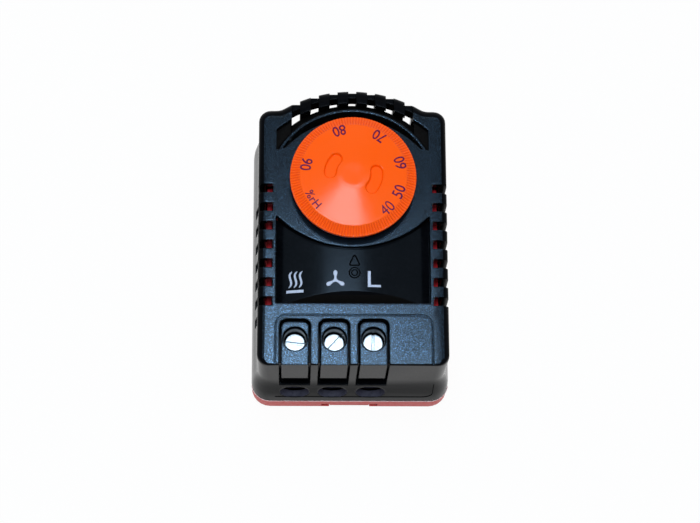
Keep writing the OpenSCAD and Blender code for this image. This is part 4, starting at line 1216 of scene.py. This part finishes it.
@dataclass(frozen=True)
class Lamp:
    """A rectangular soft lamp, in metres and watts, that faces its aim."""

    name: str
    place: tuple[float, float, float]
    aim: tuple[float, float, float]
    size: tuple[float, float]
    power: float
    colour: Colour

    def hang(self) -> None:
        """Add the lamp: its third axis points back from the aim, its second roughly up."""
        light = bpy.data.lights.new(self.name, "AREA")
        light.shape, light.size, light.size_y = "RECTANGLE", *self.size
        light.energy, light.color = self.power, self.colour
        lamp = bpy.data.objects.new(self.name, light)
        bpy.context.collection.objects.link(lamp)
        back = np.array(self.place) - np.array(self.aim)
        back /= np.linalg.norm(back)
        right = np.cross([0, 1, 0.001], back)
        right /= np.linalg.norm(right)
        matrix = np.eye(4)
        matrix[:3, 0], matrix[:3, 1], matrix[:3, 2] = right, np.cross(back, right), back
        matrix[:3, 3] = self.place
        lamp.matrix_world = Matrix(matrix.tolist())


LAMPS = (
    Lamp("overhead", (-0.04, 0.006, 1.0), (-0.04, 0.006, 0.0), (0.26, 0.512), 8.8,
         (0.8, 0.9, 1.0)),
    Lamp("warm_behind", (0.0, 0.65, 0.75), (0.0, 0.0, 0.0), (0.4, 0.25), 0.24,
         (1.0, 0.66, 0.32)),
)


@dataclass
class Studio:
    """White background, pale floor, soft lamps and camera."""

    floor_half_m: float = 3.0
    floor_white: float = 0.95
    fill_low: Colour = (0.30, 0.29, 0.29)
    fill_high: Colour = (0.42, 0.45, 0.50)
    fill_behind: Colour = (0.42, 0.36, 0.28)
    fill_strength: float = 0.6
    sensor_mm: float = 36.0
    lens_share: float = 2069.36 / 700
    shift: tuple[float, float] = (-3.086 / 700, -15.699 / 700)
    distance_mm: float = 505.87
    tilt: float = 17.123
    yaw: float = -1.747
    roll: float = -0.236
    target_mm: tuple[float, float, float] = (0.0, -4.81, 38.0)

    def camera(self) -> None:
        """Place the camera: the target plus the distance along its direction, rolled slightly."""
        tilt, yaw, roll = (math.radians(v) for v in (self.tilt, self.yaw, self.roll))
        back = np.array([math.sin(yaw), -math.sin(tilt) * math.cos(yaw),
                         math.cos(tilt) * math.cos(yaw)])
        back /= np.linalg.norm(back)
        place = np.array(self.target_mm) + self.distance_mm * back
        right = np.cross(-back, [0, 1, 0])
        right /= np.linalg.norm(right)
        up = np.cross(right, -back)
        right, up = (math.cos(roll) * right + math.sin(roll) * up,
                     math.cos(roll) * up - math.sin(roll) * right)
        lens = bpy.data.cameras.new("camera")
        lens.sensor_width, lens.sensor_fit = self.sensor_mm, "HORIZONTAL"
        lens.lens = self.sensor_mm * self.lens_share
        lens.shift_x, lens.shift_y = self.shift
        lens.clip_start, lens.clip_end = 0.01, 50
        camera = bpy.data.objects.new("camera", lens)
        bpy.context.collection.objects.link(camera)
        matrix = np.eye(4)
        matrix[:3, 0], matrix[:3, 1], matrix[:3, 2], matrix[:3, 3] = right, up, back, place * MM
        camera.matrix_world = Matrix(matrix.tolist())
        bpy.context.scene.camera = camera

    def floor(self) -> None:
        """Lay the floor: white where it is the background, with a faint share of its shadow."""
        h = self.floor_half_m / MM
        piece = piece_from_arrays("floor", np.array([[-h, -h, -0.05], [h, -h, -0.05],
                                                     [h, h, -0.05], [-h, h, -0.05]]),
                                  np.array([[0, 1, 2, 3]]))
        material = bpy.data.materials.new("floor_white")
        material.use_nodes = True
        g = Graph(material.node_tree)
        noise = g.add("TexNoise", Vector=g.add("TexCoord").outputs["Object"], Scale=30.0)
        colour = g.blend(noise.outputs[0], (0.78, 0.78, 0.78), (0.82, 0.82, 0.82))
        matt = g.add("BsdfPrincipled", Base_Color=colour, Roughness=0.9)
        white = g.add("Emission", Color=(1.0, 1.0, 1.0), Strength=1.0)
        seen = g.maths("MULTIPLY", background_rays(g), self.floor_white)
        mixed = g.add("MixShader", i0=seen, i1=matt.outputs[0], i2=white.outputs[0])
        g.add("OutputMaterial", Surface=mixed.outputs[0])
        piece.data.materials.append(material)

    def world(self) -> None:
        """Fill light, cool from above and warm from behind, in front of a white background."""
        world = bpy.data.worlds.new("studio")
        world.use_nodes = True
        bpy.context.scene.world = world
        g = Graph(world.node_tree)
        axis = g.add("SeparateXYZ", Vector=g.add("TexCoord").outputs["Generated"])
        behind = g.span(axis.outputs[1], 0.2, 0.9, 0, 1)
        above = g.span(axis.outputs[2], 0.0, 0.9, 0, 1)
        colour = g.blend(above, self.fill_low, self.fill_high)
        colour = g.blend(behind, colour, self.fill_behind)
        fill = g.add("Background", Color=colour, Strength=self.fill_strength)
        white = g.add("Background", Color=(1.0, 1.0, 1.0), Strength=1.0)
        mixed = g.add("MixShader", i0=background_rays(g), i1=fill.outputs[0], i2=white.outputs[0])
        g.add("OutputWorld", Surface=mixed.outputs[0])

    def build(self) -> None:
        """Set the stage."""
        self.camera()
        self.floor()
        self.world()
        for lamp in LAMPS:
            lamp.hang()
        bpy.context.scene.view_settings.view_transform = "Standard"
        LOG.info("stage is set")


def main() -> None:
    """Build every sub-assembly, then the stage."""
    logging.basicConfig(level=logging.INFO, format="%(name)s: %(message)s")
    paint = Paintbox()
    Studio().build()
    mechanism = Mechanism(paint)
    mechanism.build()
    Housing(paint).build()
    Dial(paint).build()
    LabelPanel(paint).build()
    Terminals(paint).build()
    mechanism.springs()


if __name__ == "__main__":
    main()
